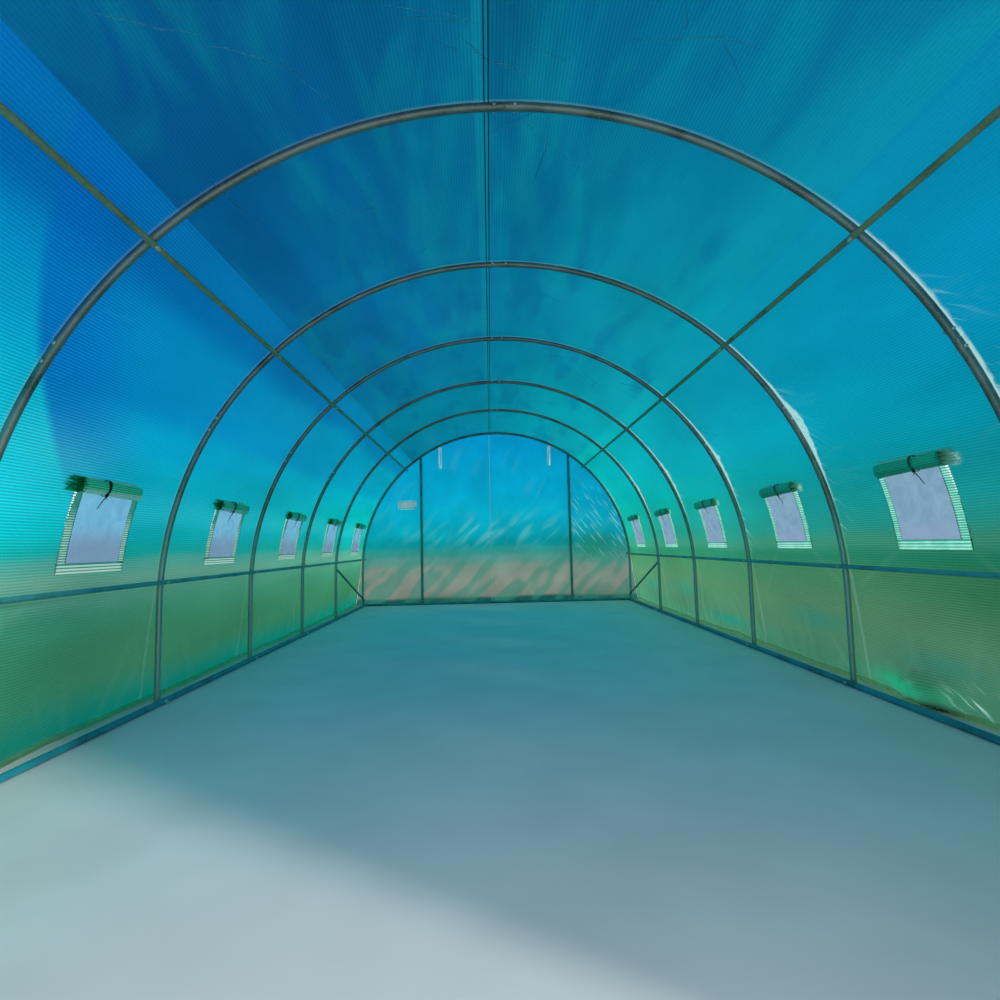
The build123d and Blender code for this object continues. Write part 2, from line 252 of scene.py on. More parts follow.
def crease_field(across, along):
    """Height of the creases in the sheet, and how far they whiten it."""
    rise = np.zeros_like(across)
    white = np.zeros_like(across)
    low_across, high_across, low_along, high_along = crease_reach.T
    met = (high_across > across.min()) & (low_across < across.max())
    met &= (high_along > along.min()) & (low_along < along.max())
    for index in np.flatnonzero(met):
        (a, b), (c, d), height, width, pale = creases[index]
        low, high, first, last = crease_reach[index]
        near = (across > low) & (across < high) & (along > first) & (along < last)
        if not near.any():
            continue
        p = across[near] - a
        q = along[near] - b
        run = (c - a) ** 2 + (d - b) ** 2
        t = np.clip((p * (c - a) + q * (d - b)) / run, 0, 1)
        gap = np.hypot(p - t * (c - a), q - t * (d - b)) / width
        ends_off = smooth(t * 5) * smooth((1 - t) * 5) * 0.6 + 0.4
        rise[near] += height * np.exp(-gap * gap) * ends_off
        white[near] = np.maximum(white[near], pale * np.exp(-((gap / 0.62) ** 2)) * ends_off)
    return rise, white


def bunched(across, along):
    """1 at the middle of the bunch at the foot of the right side, less around it."""
    gap = np.hypot((across - bunch_place[0]) / bunch_size[0], (along - bunch_place[1]) / bunch_size[1])
    return np.exp(-gap * gap)


def relief(across, along):
    """How far each point of the cover stands out from its true section."""
    free = slack(along)
    still = calm(across, along)
    down = np.abs(across)
    roof = 1 - smooth((down - 1.0) / 0.5)
    warp = 0.10 * noise(across, along, (0.31, 0.37), 3)
    sag = -(0.004 + 0.003 * roof) * (1 + 0.4 * noise(across, along, (0.8, 0.9), 4))
    long_folds = 0.0018 * noise(across + 0.3 * warp, along, (0.06, 0.8), 5)
    cross_folds = 0.0014 * noise(across + warp, along, (0.42, 0.12), 6)
    crumple = 0.0004 * noise(across, along, (0.035, 0.045), 9)
    low = smooth((down - (hem_distance - 0.34)) / 0.34)
    waves = 0.012 * noise(across * 0, along, (1, 0.31), 10) + 0.007 * noise(across * 0, along, (1, 0.12), 12)
    hem = low * waves
    rise, _ = crease_field(across, along)
    out = (free * (sag + long_folds + cross_folds) + crumple) * still + rise * (0.35 + 0.65 * still) + hem
    return out + bunched(across, along) * (-0.055 + 0.018 * noise(across, along, (0.03, 0.045), 14))


def whiteness(across, along):
    """How whitened each point of the cover is, by creases, by painted glare beside the hoops and by painted
    light behind the frays, and how much painted glare streaks it.
    """
    down = np.abs(across)
    _, white = crease_field(across, along)
    ahead = np.array(hoop_places) - along[..., None]
    gap = np.min(np.where(ahead > -0.004, ahead, 9), axis=-1) - hoop_tube  # to the hoop on the rear side
    right_side = smooth((across - 0.9) / 0.4)
    reach = 0.001 + 0.030 * smooth((along + 1.9) / 0.5)
    strip = 0.001 + right_side * (reach * np.exp(-(((down - 1.62) / 0.15) ** 2)) + 0.003)
    strip = strip * (1 + 0.6 * noise(across, along, (0.022, 0.5), 13))
    # painted glare: a pale strip on the sheet just behind each hoop, strongest on the right side
    glare = smooth((strip - gap) / 0.007) * (0.10 + 0.6 * right_side * (1 - smooth((down - 1.8) / 0.25)))
    # painted glare strokes fanning from the hoops on the right side
    pull = right_side * smooth((down - 1.3) / 0.15) * (1 - smooth((down - 2.1) / 0.2))
    glare_streak = 0.45 * pull * np.exp(-np.maximum(gap, 0) / 0.035)
    # painted glare on the crinkles beside the bunch at the foot of the right side
    beside = np.hypot((across - hem_distance + 0.075) / 0.04, (along - bunch_place[1] + 0.24) / 0.10)
    glare_streak = np.maximum(glare_streak, 0.9 * np.exp(-beside * beside))
    for begin, _ in roll_spans["right"]:  # painted light: the sheet is whitened behind a flap's frayed end, so that light through it makes the frays pale
        p, q = (along - begin - 0.028) / 0.020, (across - distance_at(roll_height - head_drop[1])) / 0.016
        white = np.maximum(white, 0.5 * np.exp(-(p ** 4) - q ** 4))
    return np.clip(np.maximum(white, glare), 0, 1), glare_streak


def on_cover(across, along, out=0.0):
    """Points of the folded cover, moved outward by out."""
    side = np.where(across < 0, -1.0, 1.0)
    down = np.abs(across)
    angle = np.maximum(pi / 2 - down / sheet_radius, leave_angle)
    below = np.maximum(down - arc_length, 0)
    radius = sheet_radius + relief(across, along) + out
    x = radius * np.cos(angle) + below * sin(leave_angle)
    z = leg_height + radius * np.sin(angle) - below * cos(leave_angle)
    return np.stack([side * x, along, np.maximum(z, 0.0004)], axis=-1)


# Meshes


def mesh_piece(name, points, faces, material, uv=None, values=None):
    """A mesh that rides on the tunnel, with its material, flat coordinates and named values."""
    points = np.asarray(points, float).reshape(-1, 3)
    mesh = bpy.data.meshes.new(name)
    mesh.from_pydata(points.tolist(), [], [list(face) for face in faces])
    mesh.polygons.foreach_set("use_smooth", [True] * len(mesh.polygons))
    if uv is not None:
        corners = np.zeros(len(mesh.loops), int)
        mesh.loops.foreach_get("vertex_index", corners)
        layer = mesh.uv_layers.new(name="flat")
        layer.data.foreach_set("uv", np.asarray(uv, float).reshape(-1, 2)[corners].ravel())
    for key, value in (values or {}).items():
        attribute = mesh.attributes.new(key, "FLOAT", "POINT")
        attribute.data.foreach_set("value", np.asarray(value, float).ravel())
    mesh.materials.append(material)
    piece = bpy.data.objects.new(name, mesh)
    bpy.context.scene.collection.objects.link(piece)
    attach(piece, "root")
    return piece


def grid_faces(rows, columns, keep=None, closed=False):
    """Quads of a grid of points: all cells or those to keep, with the last column joined if closed."""
    index = np.arange(rows * columns).reshape(rows, columns)
    if closed:
        index = np.concatenate([index, index[:, :1]], axis=1)
    quads = np.stack([index[:-1, :-1], index[1:, :-1], index[1:, 1:], index[:-1, 1:]], axis=-1)
    quads = quads.reshape(-1, 4)
    return quads if keep is None else quads[keep.ravel()]


def capped_faces(stations, count):
    """Faces of a run of rings of count points each, closed at both ends."""
    faces = [list(face) for face in grid_faces(stations, count, closed=True)]
    last = count * (stations - 1)
    return faces + [list(range(count)), list(range(last, last + count))[::-1]]


def run_along(path):
    """How far along a path each of its points is."""
    return np.concatenate([[0], np.cumsum(np.linalg.norm(np.diff(path, axis=0), axis=1))])


def without_spare(points, faces, *tables):
    """The same mesh with only the points that its faces use."""
    used = np.unique(faces)
    place = np.zeros(len(points), int)
    place[used] = np.arange(len(used))
    return [points[used], place[faces]] + [table[used] for table in tables]


class Parts:
    """Several shapes gathered into one mesh."""

    def __init__(self):
        self.points = []
        self.faces = []
        self.uv = []
        self.count = 0

    def add(self, points, faces, uv=None):
        points = np.asarray(points, float).reshape(-1, 3)
        self.points.append(points)
        self.faces += [[self.count + int(i) for i in face] for face in faces]
        self.uv.append(np.zeros((len(points), 2)) if uv is None else np.asarray(uv, float).reshape(-1, 2))
        self.count += len(points)

    def skin(self, rings, across, run):
        """A skin over rings of points, with flat coordinates: across at each point and run at each ring."""
        rings = np.asarray(rings)
        stations, count = rings.shape[:2]
        uv = np.stack([np.tile(across, stations), np.repeat(run, count)], axis=-1)
        self.add(rings, capped_faces(stations, count), uv)

    def piece(self, name, material, slot):
        points, uv = np.concatenate(self.points), np.concatenate(self.uv)
        return mesh_piece(name, points, self.faces, material, uv)


def tube(parts, path, radii, count=8):
    """A round tube along a path, with a radius at each point of it."""
    path = np.asarray(path, float)
    radii = np.broadcast_to(np.asarray(radii, float), (len(path),))
    ahead = np.gradient(path, axis=0)
    ahead /= np.linalg.norm(ahead, axis=1)[:, None]
    guide = np.array([0.0, 1.0, 0.0]) if abs(ahead[0][1]) < 0.8 else np.array([1.0, 0.0, 0.0])
    rings = []
    turn = np.arange(count) * 2 * pi / count
    for point, axis, radius in zip(path, ahead, radii):
        side = np.cross(axis, guide)
        side /= np.linalg.norm(side)
        guide = np.cross(side, axis)
        rings.append(point + radius * (np.cos(turn)[:, None] * guide + np.sin(turn)[:, None] * side))
    parts.skin(rings, turn / (2 * pi), run_along(path))


def lathe(profile, count):
    """Points and faces of a turned form about Z: radius and height of each ring, closed at both ends."""
    turn = np.arange(count) * 2 * pi / count
    rings = [np.stack([r * np.cos(turn), r * np.sin(turn), np.full(count, h)], axis=-1) for r, h in profile]
    return np.concatenate(rings), [face[::-1] for face in capped_faces(len(profile), count)]


def strip_along(parts, centre, wide, thick, uv_width=1.0):
    """A flat tape: centre line, half-width and half-thickness, one vector for all stations or one each."""
    centre, wide, thick = (np.asarray(x, float) for x in (centre, wide, thick))
    corners = (wide + thick, thick - wide, -wide - thick, wide - thick)
    ring = np.stack([centre + corner for corner in corners], axis=1)
    parts.skin(ring, [0, uv_width, uv_width, 0], run_along(centre))


# Materials


def new_material(name):
    material = bpy.data.materials.new(name)
    material.use_nodes = True
    material.node_tree.nodes.clear()
    return material, material.node_tree


def node(tree, kind, inputs=None, **properties):
    """A shader node, its inputs set to a value or linked to a socket."""
    made = tree.nodes.new("ShaderNode" + kind)
    for key, value in properties.items():
        setattr(made, key, value)
    for key, value in (inputs or {}).items():
        if isinstance(value, bpy.types.NodeSocket):
            tree.links.new(value, made.inputs[key])
        else:
            made.inputs[key].default_value = value
    return made


def calc(tree, operation, first, second=0.0, third=0.0):
    return node(tree, "Math", {0: first, 1: second, 2: third}, operation=operation).outputs[0]


def mixed(tree, factor, first, second):
    """Two colours mixed, each a colour or a socket."""
    first, second = (x if isinstance(x, bpy.types.NodeSocket) else (*x, 1) for x in (first, second))
    made = node(tree, "Mix", {0: factor, 6: first, 7: second}, data_type="RGBA")
    return made.outputs[2]


def ramp(tree, factor, stops):
    """A colour ramp from (place, colour) stops."""
    made = node(tree, "ValToRGB", {0: factor})
    made.color_ramp.interpolation = "EASE"
    while len(made.color_ramp.elements) < len(stops):
        made.color_ramp.elements.new(0.5)
    for element, (place, colour) in zip(made.color_ramp.elements, stops):
        element.position = place
        element.color = (*colour, 1)
    return made.outputs[0]


def finish_material(tree, shader):
    node(tree, "OutputMaterial", {0: shader})


def object_place(tree):
    """The surface's place in the tunnel's frame as one vector, then its X, Y and Z."""
    coords = node(tree, "TexCoord").outputs["Object"]
    split = node(tree, "SeparateXYZ", {0: coords}).outputs
    return coords, split[0], split[1], split[2]


def flat_place(tree):
    """Across and along of the surface on its flat sheet."""
    split = node(tree, "SeparateXYZ", {0: node(tree, "UVMap", uv_map="flat").outputs[0]}).outputs
    return split[0], split[1]


def mesh_value(tree, key):
    """A named value of the mesh, or 0 where it has none."""
    return node(tree, "Attribute", attribute_name=key).outputs["Fac"]


def times(tree, first, *others):
    """The product of several values."""
    for other in others:
        first = calc(tree, "MULTIPLY", first, other)
    return first


def tinted(tree, colour, tone, *shares):
    """A colour with some of another tone over it. The shares are multiplied."""
    return mixed(tree, times(tree, *shares), colour, tone)


def rising(tree, value, low, high):
    """0 below low, 1 above high, and a smooth step between them."""
    kind = {"interpolation_type": "SMOOTHSTEP"}
    return node(tree, "MapRange", {"Value": value, "From Min": low, "From Max": high}, **kind).outputs[0]


def falling(tree, value, low, high, most=1.0):
    """most below low, 0 above high, and a smooth step between them."""
    return calc(tree, "MULTIPLY_ADD", rising(tree, value, low, high), -most, most)


def clouds(tree, coords, scale, detail=4.0, distortion=0.0):
    inputs = {"Vector": coords, "Scale": scale, "Detail": detail, "Distortion": distortion}
    return node(tree, "TexNoise", inputs).outputs[0]


def blotches(tree, coords, scale, detail, distortion, low, high):
    """0 where the clouds are under low, 1 where they are over high."""
    return ramp(tree, clouds(tree, coords, scale, detail, distortion), [(low, (0, 0, 0)), (high, (1, 1, 1))])


def bumped(tree, height, strength, distance):
    """A normal that a height bends."""
    return node(tree, "Bump", {"Strength": strength, "Distance": distance, "Height": height}).outputs[0]


def woven_sheet(name, paint, ribs=1.0, through=0.55, gloss=0.36):
    """A woven plastic sheet that light shines through. paint gives its colour from the tree and place."""
    material, tree = new_material(name)
    coords, x, y, z = object_place(tree)
    down, along = flat_place(tree)
    rib = calc(tree, "SINE", times(tree, down, 2 * pi / rib_pitch))
    weft = calc(tree, "SINE", times(tree, along, 2 * pi / (rib_pitch * 1.4)))
    depth = calc(tree, "MULTIPLY_ADD", clouds(tree, coords, 0.9, 1.0), 0.5 * ribs, -0.12 * ribs)
    drawn = node(tree, "Mapping", {"Vector": coords, "Scale": (1.0, 0.3, 1.0)}).outputs[0]
    light = calc(tree, "MULTIPLY_ADD", rib, depth, 1.04)
    light = calc(tree, "MULTIPLY_ADD", weft, 0.02 * ribs, light)
    for cloud, strength in ((clouds(tree, drawn, 3.2, 3.0), 0.6), (clouds(tree, coords, 95.0, 1.0), 0.12)):
        light = calc(tree, "MULTIPLY_ADD", calc(tree, "SUBTRACT", cloud, 0.5), strength, light)
    painted = {0: paint(tree, coords, x, y, z), "Scale": light}
    colour = node(tree, "VectorMath", painted, operation="SCALE").outputs[0]
    lengthwise = calc(tree, "MULTIPLY_ADD", down, 3.0, times(tree, along, -4.0))
    crosswise = calc(tree, "MULTIPLY_ADD", down, 48.0, times(tree, along, 36.0))
    slanted = node(tree, "CombineXYZ", {0: lengthwise, 1: crosswise}).outputs[0]
    strokes = blotches(tree, slanted, 1.0, 1.0, 0.0, 0.58, 0.68)
    # painted glare: slanted pale strokes where the mesh sets them, and the mesh's white value, which holds
    # crease whitening and painted glare and light, turn the sheet pale
    glare_streak = times(tree, strokes, mesh_value(tree, "glare_streak"), 0.8)
    white = calc(tree, "MAXIMUM", mesh_value(tree, "white"), glare_streak)
    colour = mixed(tree, white, colour, srgb(196, 238, 236))
    bump = bumped(tree, rib, 0.35, 0.0006)
    surface = {"Base Color": colour, "Roughness": gloss, "Normal": bump, "Specular IOR Level": 0.2}
    body = node(tree, "BsdfPrincipled", surface).outputs[0]
    glow = node(tree, "BsdfTranslucent", {"Color": colour, "Normal": bump}).outputs[0]
    finish_material(tree, node(tree, "MixShader", {0: through, 1: body, 2: glow}).outputs[0])
    return material


def spot(tree, across, z, centre, size):
    """1 at a place on an upright sheet, less around it. across is Y on a side and X on an end wall."""
    p = calc(tree, "MULTIPLY_ADD", across, 1 / size[0], -centre[0] / size[0])
    q = calc(tree, "MULTIPLY_ADD", z, 1 / size[1], -centre[1] / size[1])
    spread = calc(tree, "MULTIPLY_ADD", p, p, times(tree, q, q))
    return calc(tree, "EXPONENT", times(tree, spread, -1.0))


paint_top = 2.0  # height at the top end of the ramps by height


def by_height(stops, overlap=None, spots=(), rise=0.10):
    """Paint that changes with height, with a seam overlap and spots of colour, some of them painted light and
    shade, and painted light that brightens it to the rear.
    """

    def paint(tree, coords, x, y, z):
        wave = calc(tree, "SUBTRACT", clouds(tree, coords, 1.3, 2.0), 0.5)
        place = calc(tree, "DIVIDE", calc(tree, "MULTIPLY_ADD", wave, 0.08, z), paint_top)
        colour = ramp(tree, place, [(height / paint_top, tone) for height, tone in stops])
        for centre, size, strength, tone in spots:
            colour = tinted(tree, colour, tone, spot(tree, y, z, centre, size), strength)
        if overlap:
            edge = rising(tree, z, purlin_height - 0.002, purlin_height + 0.004)
            colour = tinted(tree, colour, overlap, edge, 0.7)
        # painted light: brighter towards the rear by rise a metre, less so in blue high up
        haze = calc(tree, "MULTIPLY_ADD", rising(tree, z, 0.6, 1.0), -0.9 * rise, rise)
        gain = [calc(tree, "MULTIPLY_ADD", y, slope, 1.0) for slope in (rise, 1.25 * rise, haze)]
        gain = node(tree, "CombineXYZ", {index: value for index, value in enumerate(gain)}).outputs[0]
        return node(tree, "VectorMath", {0: colour, 1: gain}, operation="MULTIPLY").outputs[0]

    return paint


roof_stops = {
    "front": tones((0.12, 6, 92, 152), (0.26, 6, 95, 150), (0.42, 6, 103, 143), (0.50, 6, 97, 135),
                   (0.60, 6, 104, 143), (0.74, 5, 115, 153), (0.88, 8, 135, 164)),
    "middle": tones((0.12, 5, 118, 174), (0.30, 5, 120, 172), (0.42, 5, 120, 162),
                    (0.55, 4, 127, 161), (0.74, 5, 139, 165), (0.88, 5, 149, 171)),
    "rear": tones((0.12, 8, 141, 170), (0.34, 7, 138, 166), (0.46, 6, 140, 163),
                  (0.60, 6, 147, 165), (0.74, 6, 154, 168), (0.88, 8, 160, 169)),
}


def roof_paint(tree, coords, x, y, z):
    """Deep blue on the left and at the front, turning to turquoise on the right and towards the rear: painted
    shade on the left and at the front and painted light to the right and rear, with blotches of tone.
    """
    # painted shade on the left and painted light on the right, by the ramps across
    place = calc(tree, "MULTIPLY_ADD", x, 0.42, 0.5)
    front, middle, rear = (ramp(tree, place, roof_stops[key]) for key in ("front", "middle", "rear"))
    # painted light that brightens the roof towards the rear
    colour = mixed(tree, rising(tree, y, -2.2, -0.8), front, middle)
    colour = mixed(tree, rising(tree, y, -0.5, 1.8), colour, rear)
    drawn = {"Vector": coords, "Scale": (1.0, 0.22, 1.0), "Rotation": (0, 0, 0.12)}
    drawn = node(tree, "Mapping", drawn).outputs[0]
    light = blotches(tree, drawn, 4.0, 3.0, 0.5, 0.50, 0.68)
    colour = tinted(tree, colour, srgb(12, 150, 168), light, 0.42)
    deep = ramp(tree, clouds(tree, drawn, 5.5, 2.0), [(0.34, (1, 1, 1)), (0.48, (0, 0, 0))])
    colour = tinted(tree, colour, srgb(4, 82, 140), deep, 0.30)
    marbled = blotches(tree, drawn, 3.2, 3.0, 1.6, 0.50, 0.68)
    colour = tinted(tree, colour, srgb(10, 150, 164), marbled, 0.24)
    band = rising(tree, x, ridge_seam - 0.044, ridge_seam - 0.036)
    band = times(tree, band, falling(tree, x, ridge_seam - 0.004, ridge_seam))
    return tinted(tree, colour, srgb(14, 146, 168), band, 0.4)


left_stops = tones(
    (0.03, 14, 160, 140), (0.20, 72, 154, 114), (0.30, 74, 158, 116), (0.40, 78, 168, 132),
    (0.48, 94, 177, 146), (0.55, 120, 195, 168), (0.60, 96, 194, 174), (0.65, 26, 194, 182),
    (0.72, 16, 200, 206), (0.80, 36, 214, 224), (0.95, 8, 198, 216), (1.10, 5, 190, 224),
    (1.20, 4, 168, 218), (1.40, 4, 166, 213), (1.50, 4, 134, 195), (1.62, 4, 126, 186),
)
right_stops = tones(
    (0.05, 72, 139, 109), (0.20, 84, 137, 104), (0.32, 84, 136, 100), (0.48, 70, 134, 96),
    (0.56, 42, 136, 104), (0.62, 60, 147, 118), (0.70, 36, 152, 138), (0.80, 24, 159, 152),
    (0.90, 14, 158, 155), (1.00, 6, 161, 167), (1.15, 5, 161, 178), (1.35, 5, 156, 178),
    (1.50, 5, 153, 173),
)
rear_stops = tones(
    (0.05, 24, 106, 98), (0.09, 150, 158, 146), (0.25, 160, 168, 156), (0.38, 146, 166, 152),
    (0.48, 104, 169, 158), (0.58, 54, 166, 159), (0.66, 8, 165, 172), (0.80, 8, 183, 204),
    (1.00, 6, 188, 219), (1.20, 5, 182, 222), (1.40, 5, 178, 223), (1.90, 4, 160, 216),
)

# Spots of colour on the sides: middle (along and up), reach, strength and tone
left_spots = [
    # painted sun glare on the near left wall
    ((-1.64, 0.98), (0.22, 0.10), 0.5, srgb(90, 228, 232)),
]
right_spots = [
    ((-1.70, 0.44), (0.40, 0.16), 0.45, srgb(6, 104, 60)),
    ((-1.38, 0.17), (0.20, 0.05), 0.4, srgb(16, 140, 126)),
    ((-0.62, 0.24), (0.24, 0.05), 0.5, srgb(18, 136, 122)),
    ((0.50, 0.10), (0.30, 0.035), 0.65, srgb(14, 150, 134)),
    ((1.30, 0.25), (0.26, 0.06), 0.5, srgb(24, 150, 130)),
    ((2.30, 0.22), (0.26, 0.07), 0.5, srgb(24, 150, 130)),
    # painted light on the top of the bunched sheet, then its painted shadow underneath
    ((-1.20, 0.06), (0.20, 0.035), 0.85, srgb(8, 186, 136)),
    ((-1.35, 0.012), (0.10, 0.020), 0.97, srgb(2, 40, 30)),
]

purlin_low, purlin_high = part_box("right_shoulder_purlin")
purlin_angle = atan2((purlin_low.z + purlin_high.z) / 2 - leg_height, (purlin_low.x + purlin_high.x) / 2)
purlin_height = leg_height + sheet_radius * sin(purlin_angle)


def left_paint(tree, coords, x, y, z):
    """The left side: painted sunlight in front of a slanting shadow edge, with a painted deeper shade in a
    wedge behind it, and low down painted light in front of a post's painted shadow.
    """
    colour = by_height(left_stops, srgb(5, 146, 198), left_spots)(tree, coords, x, y, z)
    # painted sunlight in front of a slanting shadow edge across the wall
    past = calc(tree, "ADD", calc(tree, "MULTIPLY_ADD", z, 0.95, y), 0.754)
    lit = times(tree, falling(tree, past, -0.025, 0.025, 0.42), rising(tree, z, 0.6, 0.72))
    colour = tinted(tree, colour, srgb(20, 236, 240), lit, falling(tree, z, 1.1, 1.5))
    # painted shade: a deeper blue wedge behind the edge
    deep = times(tree, rising(tree, past, -0.025, 0.025), falling(tree, past, 0.10, 0.50, 0.6))
    colour = tinted(tree, colour, srgb(3, 112, 202), deep, rising(tree, z, 0.85, 1.1))
    low = falling(tree, z, 0.42, 0.5)
    # low down, painted light in front of a post's shadow edge
    colour = tinted(tree, colour, srgb(108, 232, 150), falling(tree, y, -1.74, -1.70, 0.6), low)
    # the post's painted shadow behind that edge
    painted_post_shadow = times(tree, rising(tree, y, -1.74, -1.70), falling(tree, y, -1.6, -1.1, 0.35))
    return tinted(tree, colour, srgb(36, 122, 98), painted_post_shadow, low)


right_paint = by_height(right_stops, srgb(10, 158, 174), right_spots)


def rear_paint(tree, coords, x, y, z):
    """The end walls: by height, with slanting patches low down and darker lower corners."""
    colour = by_height(rear_stops, rise=0.0)(tree, coords, x, y, z)
    turned = {"Vector": coords, "Rotation": (0, -0.75, 0), "Scale": (1.3, 1.0, 0.34)}
    slanted = node(tree, "Mapping", turned, vector_type="TEXTURE").outputs[0]
    patch = blotches(tree, slanted, 2.6, 1.0, 0.3, 0.44, 0.60)
    colour = tinted(tree, colour, srgb(60, 158, 138), patch, falling(tree, z, 0.42, 0.62, 0.62))
    band = blotches(tree, slanted, 3.6, 1.0, 0.0, 0.48, 0.66)
    colour = tinted(tree, colour, srgb(130, 222, 226), band, spot(tree, x, z, (0.0, 0.80), (0.9, 0.17)), 0.4)
    colour = tinted(tree, colour, srgb(44, 112, 94), spot(tree, x, z, (-0.62, 0.03), (0.34, 0.05)), 0.75)
    colour = tinted(tree, colour, srgb(38, 150, 126), spot(tree, x, z, (1.12, 0.62), (0.22, 0.16)), 0.8)
    return tinted(tree, colour, srgb(2, 70, 84), rising(tree, x, 0.1, 1.3), 0.14)


roof_sheet = woven_sheet("roof_sheet", roof_paint, ribs=0.6)
side_sheets = {
    "left": woven_sheet("left_side_sheet", left_paint),
    "right": woven_sheet("right_side_sheet", right_paint, ribs=0.65),
}
wall_sheet = woven_sheet("wall_sheet", rear_paint, ribs=0.35, through=0.75, gloss=0.28)


spangle_scale = 272.0


def steel(name, colour, dark, rough=0.42, metallic=0.75, foot=None):
    """Galvanised tube, with spangle, dull patches and fine scratches; where its colour or foot tone is teal,
    that is painted reflection and light from the cover.
    """
    material, tree = new_material(name)
    coords, _, _, z = object_place(tree)
    grains = node(tree, "TexVoronoi", {"Vector": coords, "Scale": spangle_scale}).outputs["Distance"]
    patches = clouds(tree, coords, 6.0, 6.0, 0.8)
    shade = calc(tree, "MULTIPLY_ADD", grains, 0.25, patches)
    base = ramp(tree, shade, [(0.3, dark), (0.75, colour)])
    if foot:
        low, high, tone = foot
        base = mixed(tree, falling(tree, z, low, high, 0.6), base, tone)
    bump = bumped(tree, clouds(tree, coords, 320.0, 2.0), 0.12, 0.0004)
    dull = calc(tree, "MULTIPLY_ADD", patches, 0.3, rough - 0.12)
    surface = {"Base Color": base, "Roughness": dull, "Normal": bump, "Metallic": metallic}
    finish_material(tree, node(tree, "BsdfPrincipled", surface).outputs[0])
    return material


# painted light: the hoop legs turn a paler teal low down, as lit from the floor and the lower sheet
hoop_steel = steel("hoop_steel", srgb(132, 144, 136), srgb(72, 82, 76), foot=(0.5, 0.95, srgb(150, 196, 184)))
purlin_steel = steel("purlin_steel", srgb(150, 160, 120), srgb(90, 104, 80), rough=0.5, metallic=0.35)
# painted reflection: the teal of the rails, posts and braces stands for the cover mirrored in their
# galvanised steel
rail_steel = steel("rail_steel", srgb(38, 152, 164), srgb(16, 86, 98), rough=0.5, metallic=0.2)
waist_steel = steel("waist_steel", srgb(84, 176, 176), srgb(46, 112, 112), rough=0.45, metallic=0.5)
post_steel = steel("post_steel", srgb(72, 150, 138), srgb(36, 92, 84), rough=0.5, metallic=0.2)
bolt_steel = steel("bolt_steel", srgb(214, 212, 200), srgb(150, 146, 132), rough=0.3, metallic=0.85)


def cloth(name, colour, dark, pitch, through=0.3, clear=0.0, rough=0.6, foot=None, solid=True):
    """Net, tape or webbing: fine threads both ways. foot gives two heights and the tone below them.

    A solid piece of cloth takes light in once, so its back faces let light pass.
    """
    material, tree = new_material(name)
    coords, _, _, z = object_place(tree)
    warp, weft = (calc(tree, "SINE", times(tree, place, 2 * pi / pitch)) for place in flat_place(tree))
    threads = calc(tree, "MULTIPLY_ADD", times(tree, warp, weft), 0.5, 0.5)
    patches = clouds(tree, coords, 14.0, 5.0, 1.0)
    shade = calc(tree, "MULTIPLY_ADD", threads, 0.3, calc(tree, "MULTIPLY_ADD", patches, 0.9, -0.1))
    base = ramp(tree, shade, [(0.2, dark), (0.75, colour)])
    if foot:
        low, high, tone = foot
        base = mixed(tree, falling(tree, z, low, high, 0.75), base, tone)
    bump = bumped(tree, threads, 0.4, 0.0006)
    body = node(tree, "BsdfPrincipled", {"Base Color": base, "Roughness": rough, "Normal": bump}).outputs[0]
    glow = node(tree, "BsdfTranslucent", {"Color": base}).outputs[0]
    shader = node(tree, "MixShader", {0: through, 1: body, 2: glow}).outputs[0]
    if clear:
        see = node(tree, "BsdfTransparent", {"Color": (0.8, 0.9, 0.95, 1)}).outputs[0]
        shader = node(tree, "MixShader", {0: clear, 1: shader, 2: see}).outputs[0]
    if solid:
        inner = node(tree, "NewGeometry").outputs["Backfacing"]
        passed = node(tree, "BsdfTransparent", {"Color": (1, 1, 1, 1)}).outputs[0]
        shader = node(tree, "MixShader", {0: inner, 1: shader, 2: passed}).outputs[0]
    finish_material(tree, shader)
    return material


left_foot = (0.66, 0.76, srgb(116, 146, 186))
right_foot = (0.64, 0.72, srgb(128, 150, 186))
net_colours = {
    "left": (srgb(120, 220, 255), srgb(92, 188, 236), left_foot),
    "right": (srgb(122, 163, 190), srgb(93, 139, 171), right_foot),
}
net_cloths = {
    name: cloth(f"{name}_net", colour, dark, 0.0034, 0.55, 0.1, foot=foot, solid=False)
    for name, (colour, dark, foot) in net_colours.items()
}
tape_cloth = cloth("tape_cloth", srgb(56, 168, 148), srgb(40, 146, 128), 0.004, through=0.85)
left_thread = (0.72, 0.82, srgb(214, 246, 238))
thread_cloths = {
    "left": cloth("left_thread_cloth", srgb(70, 172, 156), srgb(50, 148, 134), 0.003, 0.85, foot=left_thread),
    "right": cloth("right_thread_cloth", srgb(158, 220, 206), srgb(112, 194, 180), 0.003, 0.85),
}
thread_cloth = cloth("thread_cloth", srgb(222, 250, 244), srgb(180, 236, 226), 0.003, through=0.85)
# painted light and shade: the frays on the right are near white as in sunlight, those on the left a darker
# green as in shade
fray_cloths = {
    "left": cloth("left_fray_cloth", srgb(100, 226, 160), srgb(48, 160, 116), 0.003, through=0.5),
    "right": cloth("right_fray_cloth", srgb(252, 255, 234), srgb(228, 244, 200), 0.003, 0.45, clear=0.3),
}
tie_cloth = cloth("tie_cloth", srgb(60, 140, 116), srgb(30, 96, 80), 0.0022, through=0.4)
strap_cloth = cloth("strap_cloth", srgb(246, 250, 250), srgb(220, 236, 236), 0.0026, through=0.6)
seam_cloth = cloth("seam_cloth", srgb(24, 150, 168), srgb(10, 124, 150), 0.0052, through=0.7)
piping_cloth = cloth("piping_cloth", srgb(16, 76, 96), srgb(8, 52, 70), 0.0052, through=0.1)
hem_cloth = cloth("hem_cloth", srgb(238, 240, 214), srgb(216, 228, 200), 0.0052, through=0.85)
binding_cloth = cloth("binding_cloth", srgb(110, 214, 220), srgb(70, 190, 200), 0.0052, through=0.8)
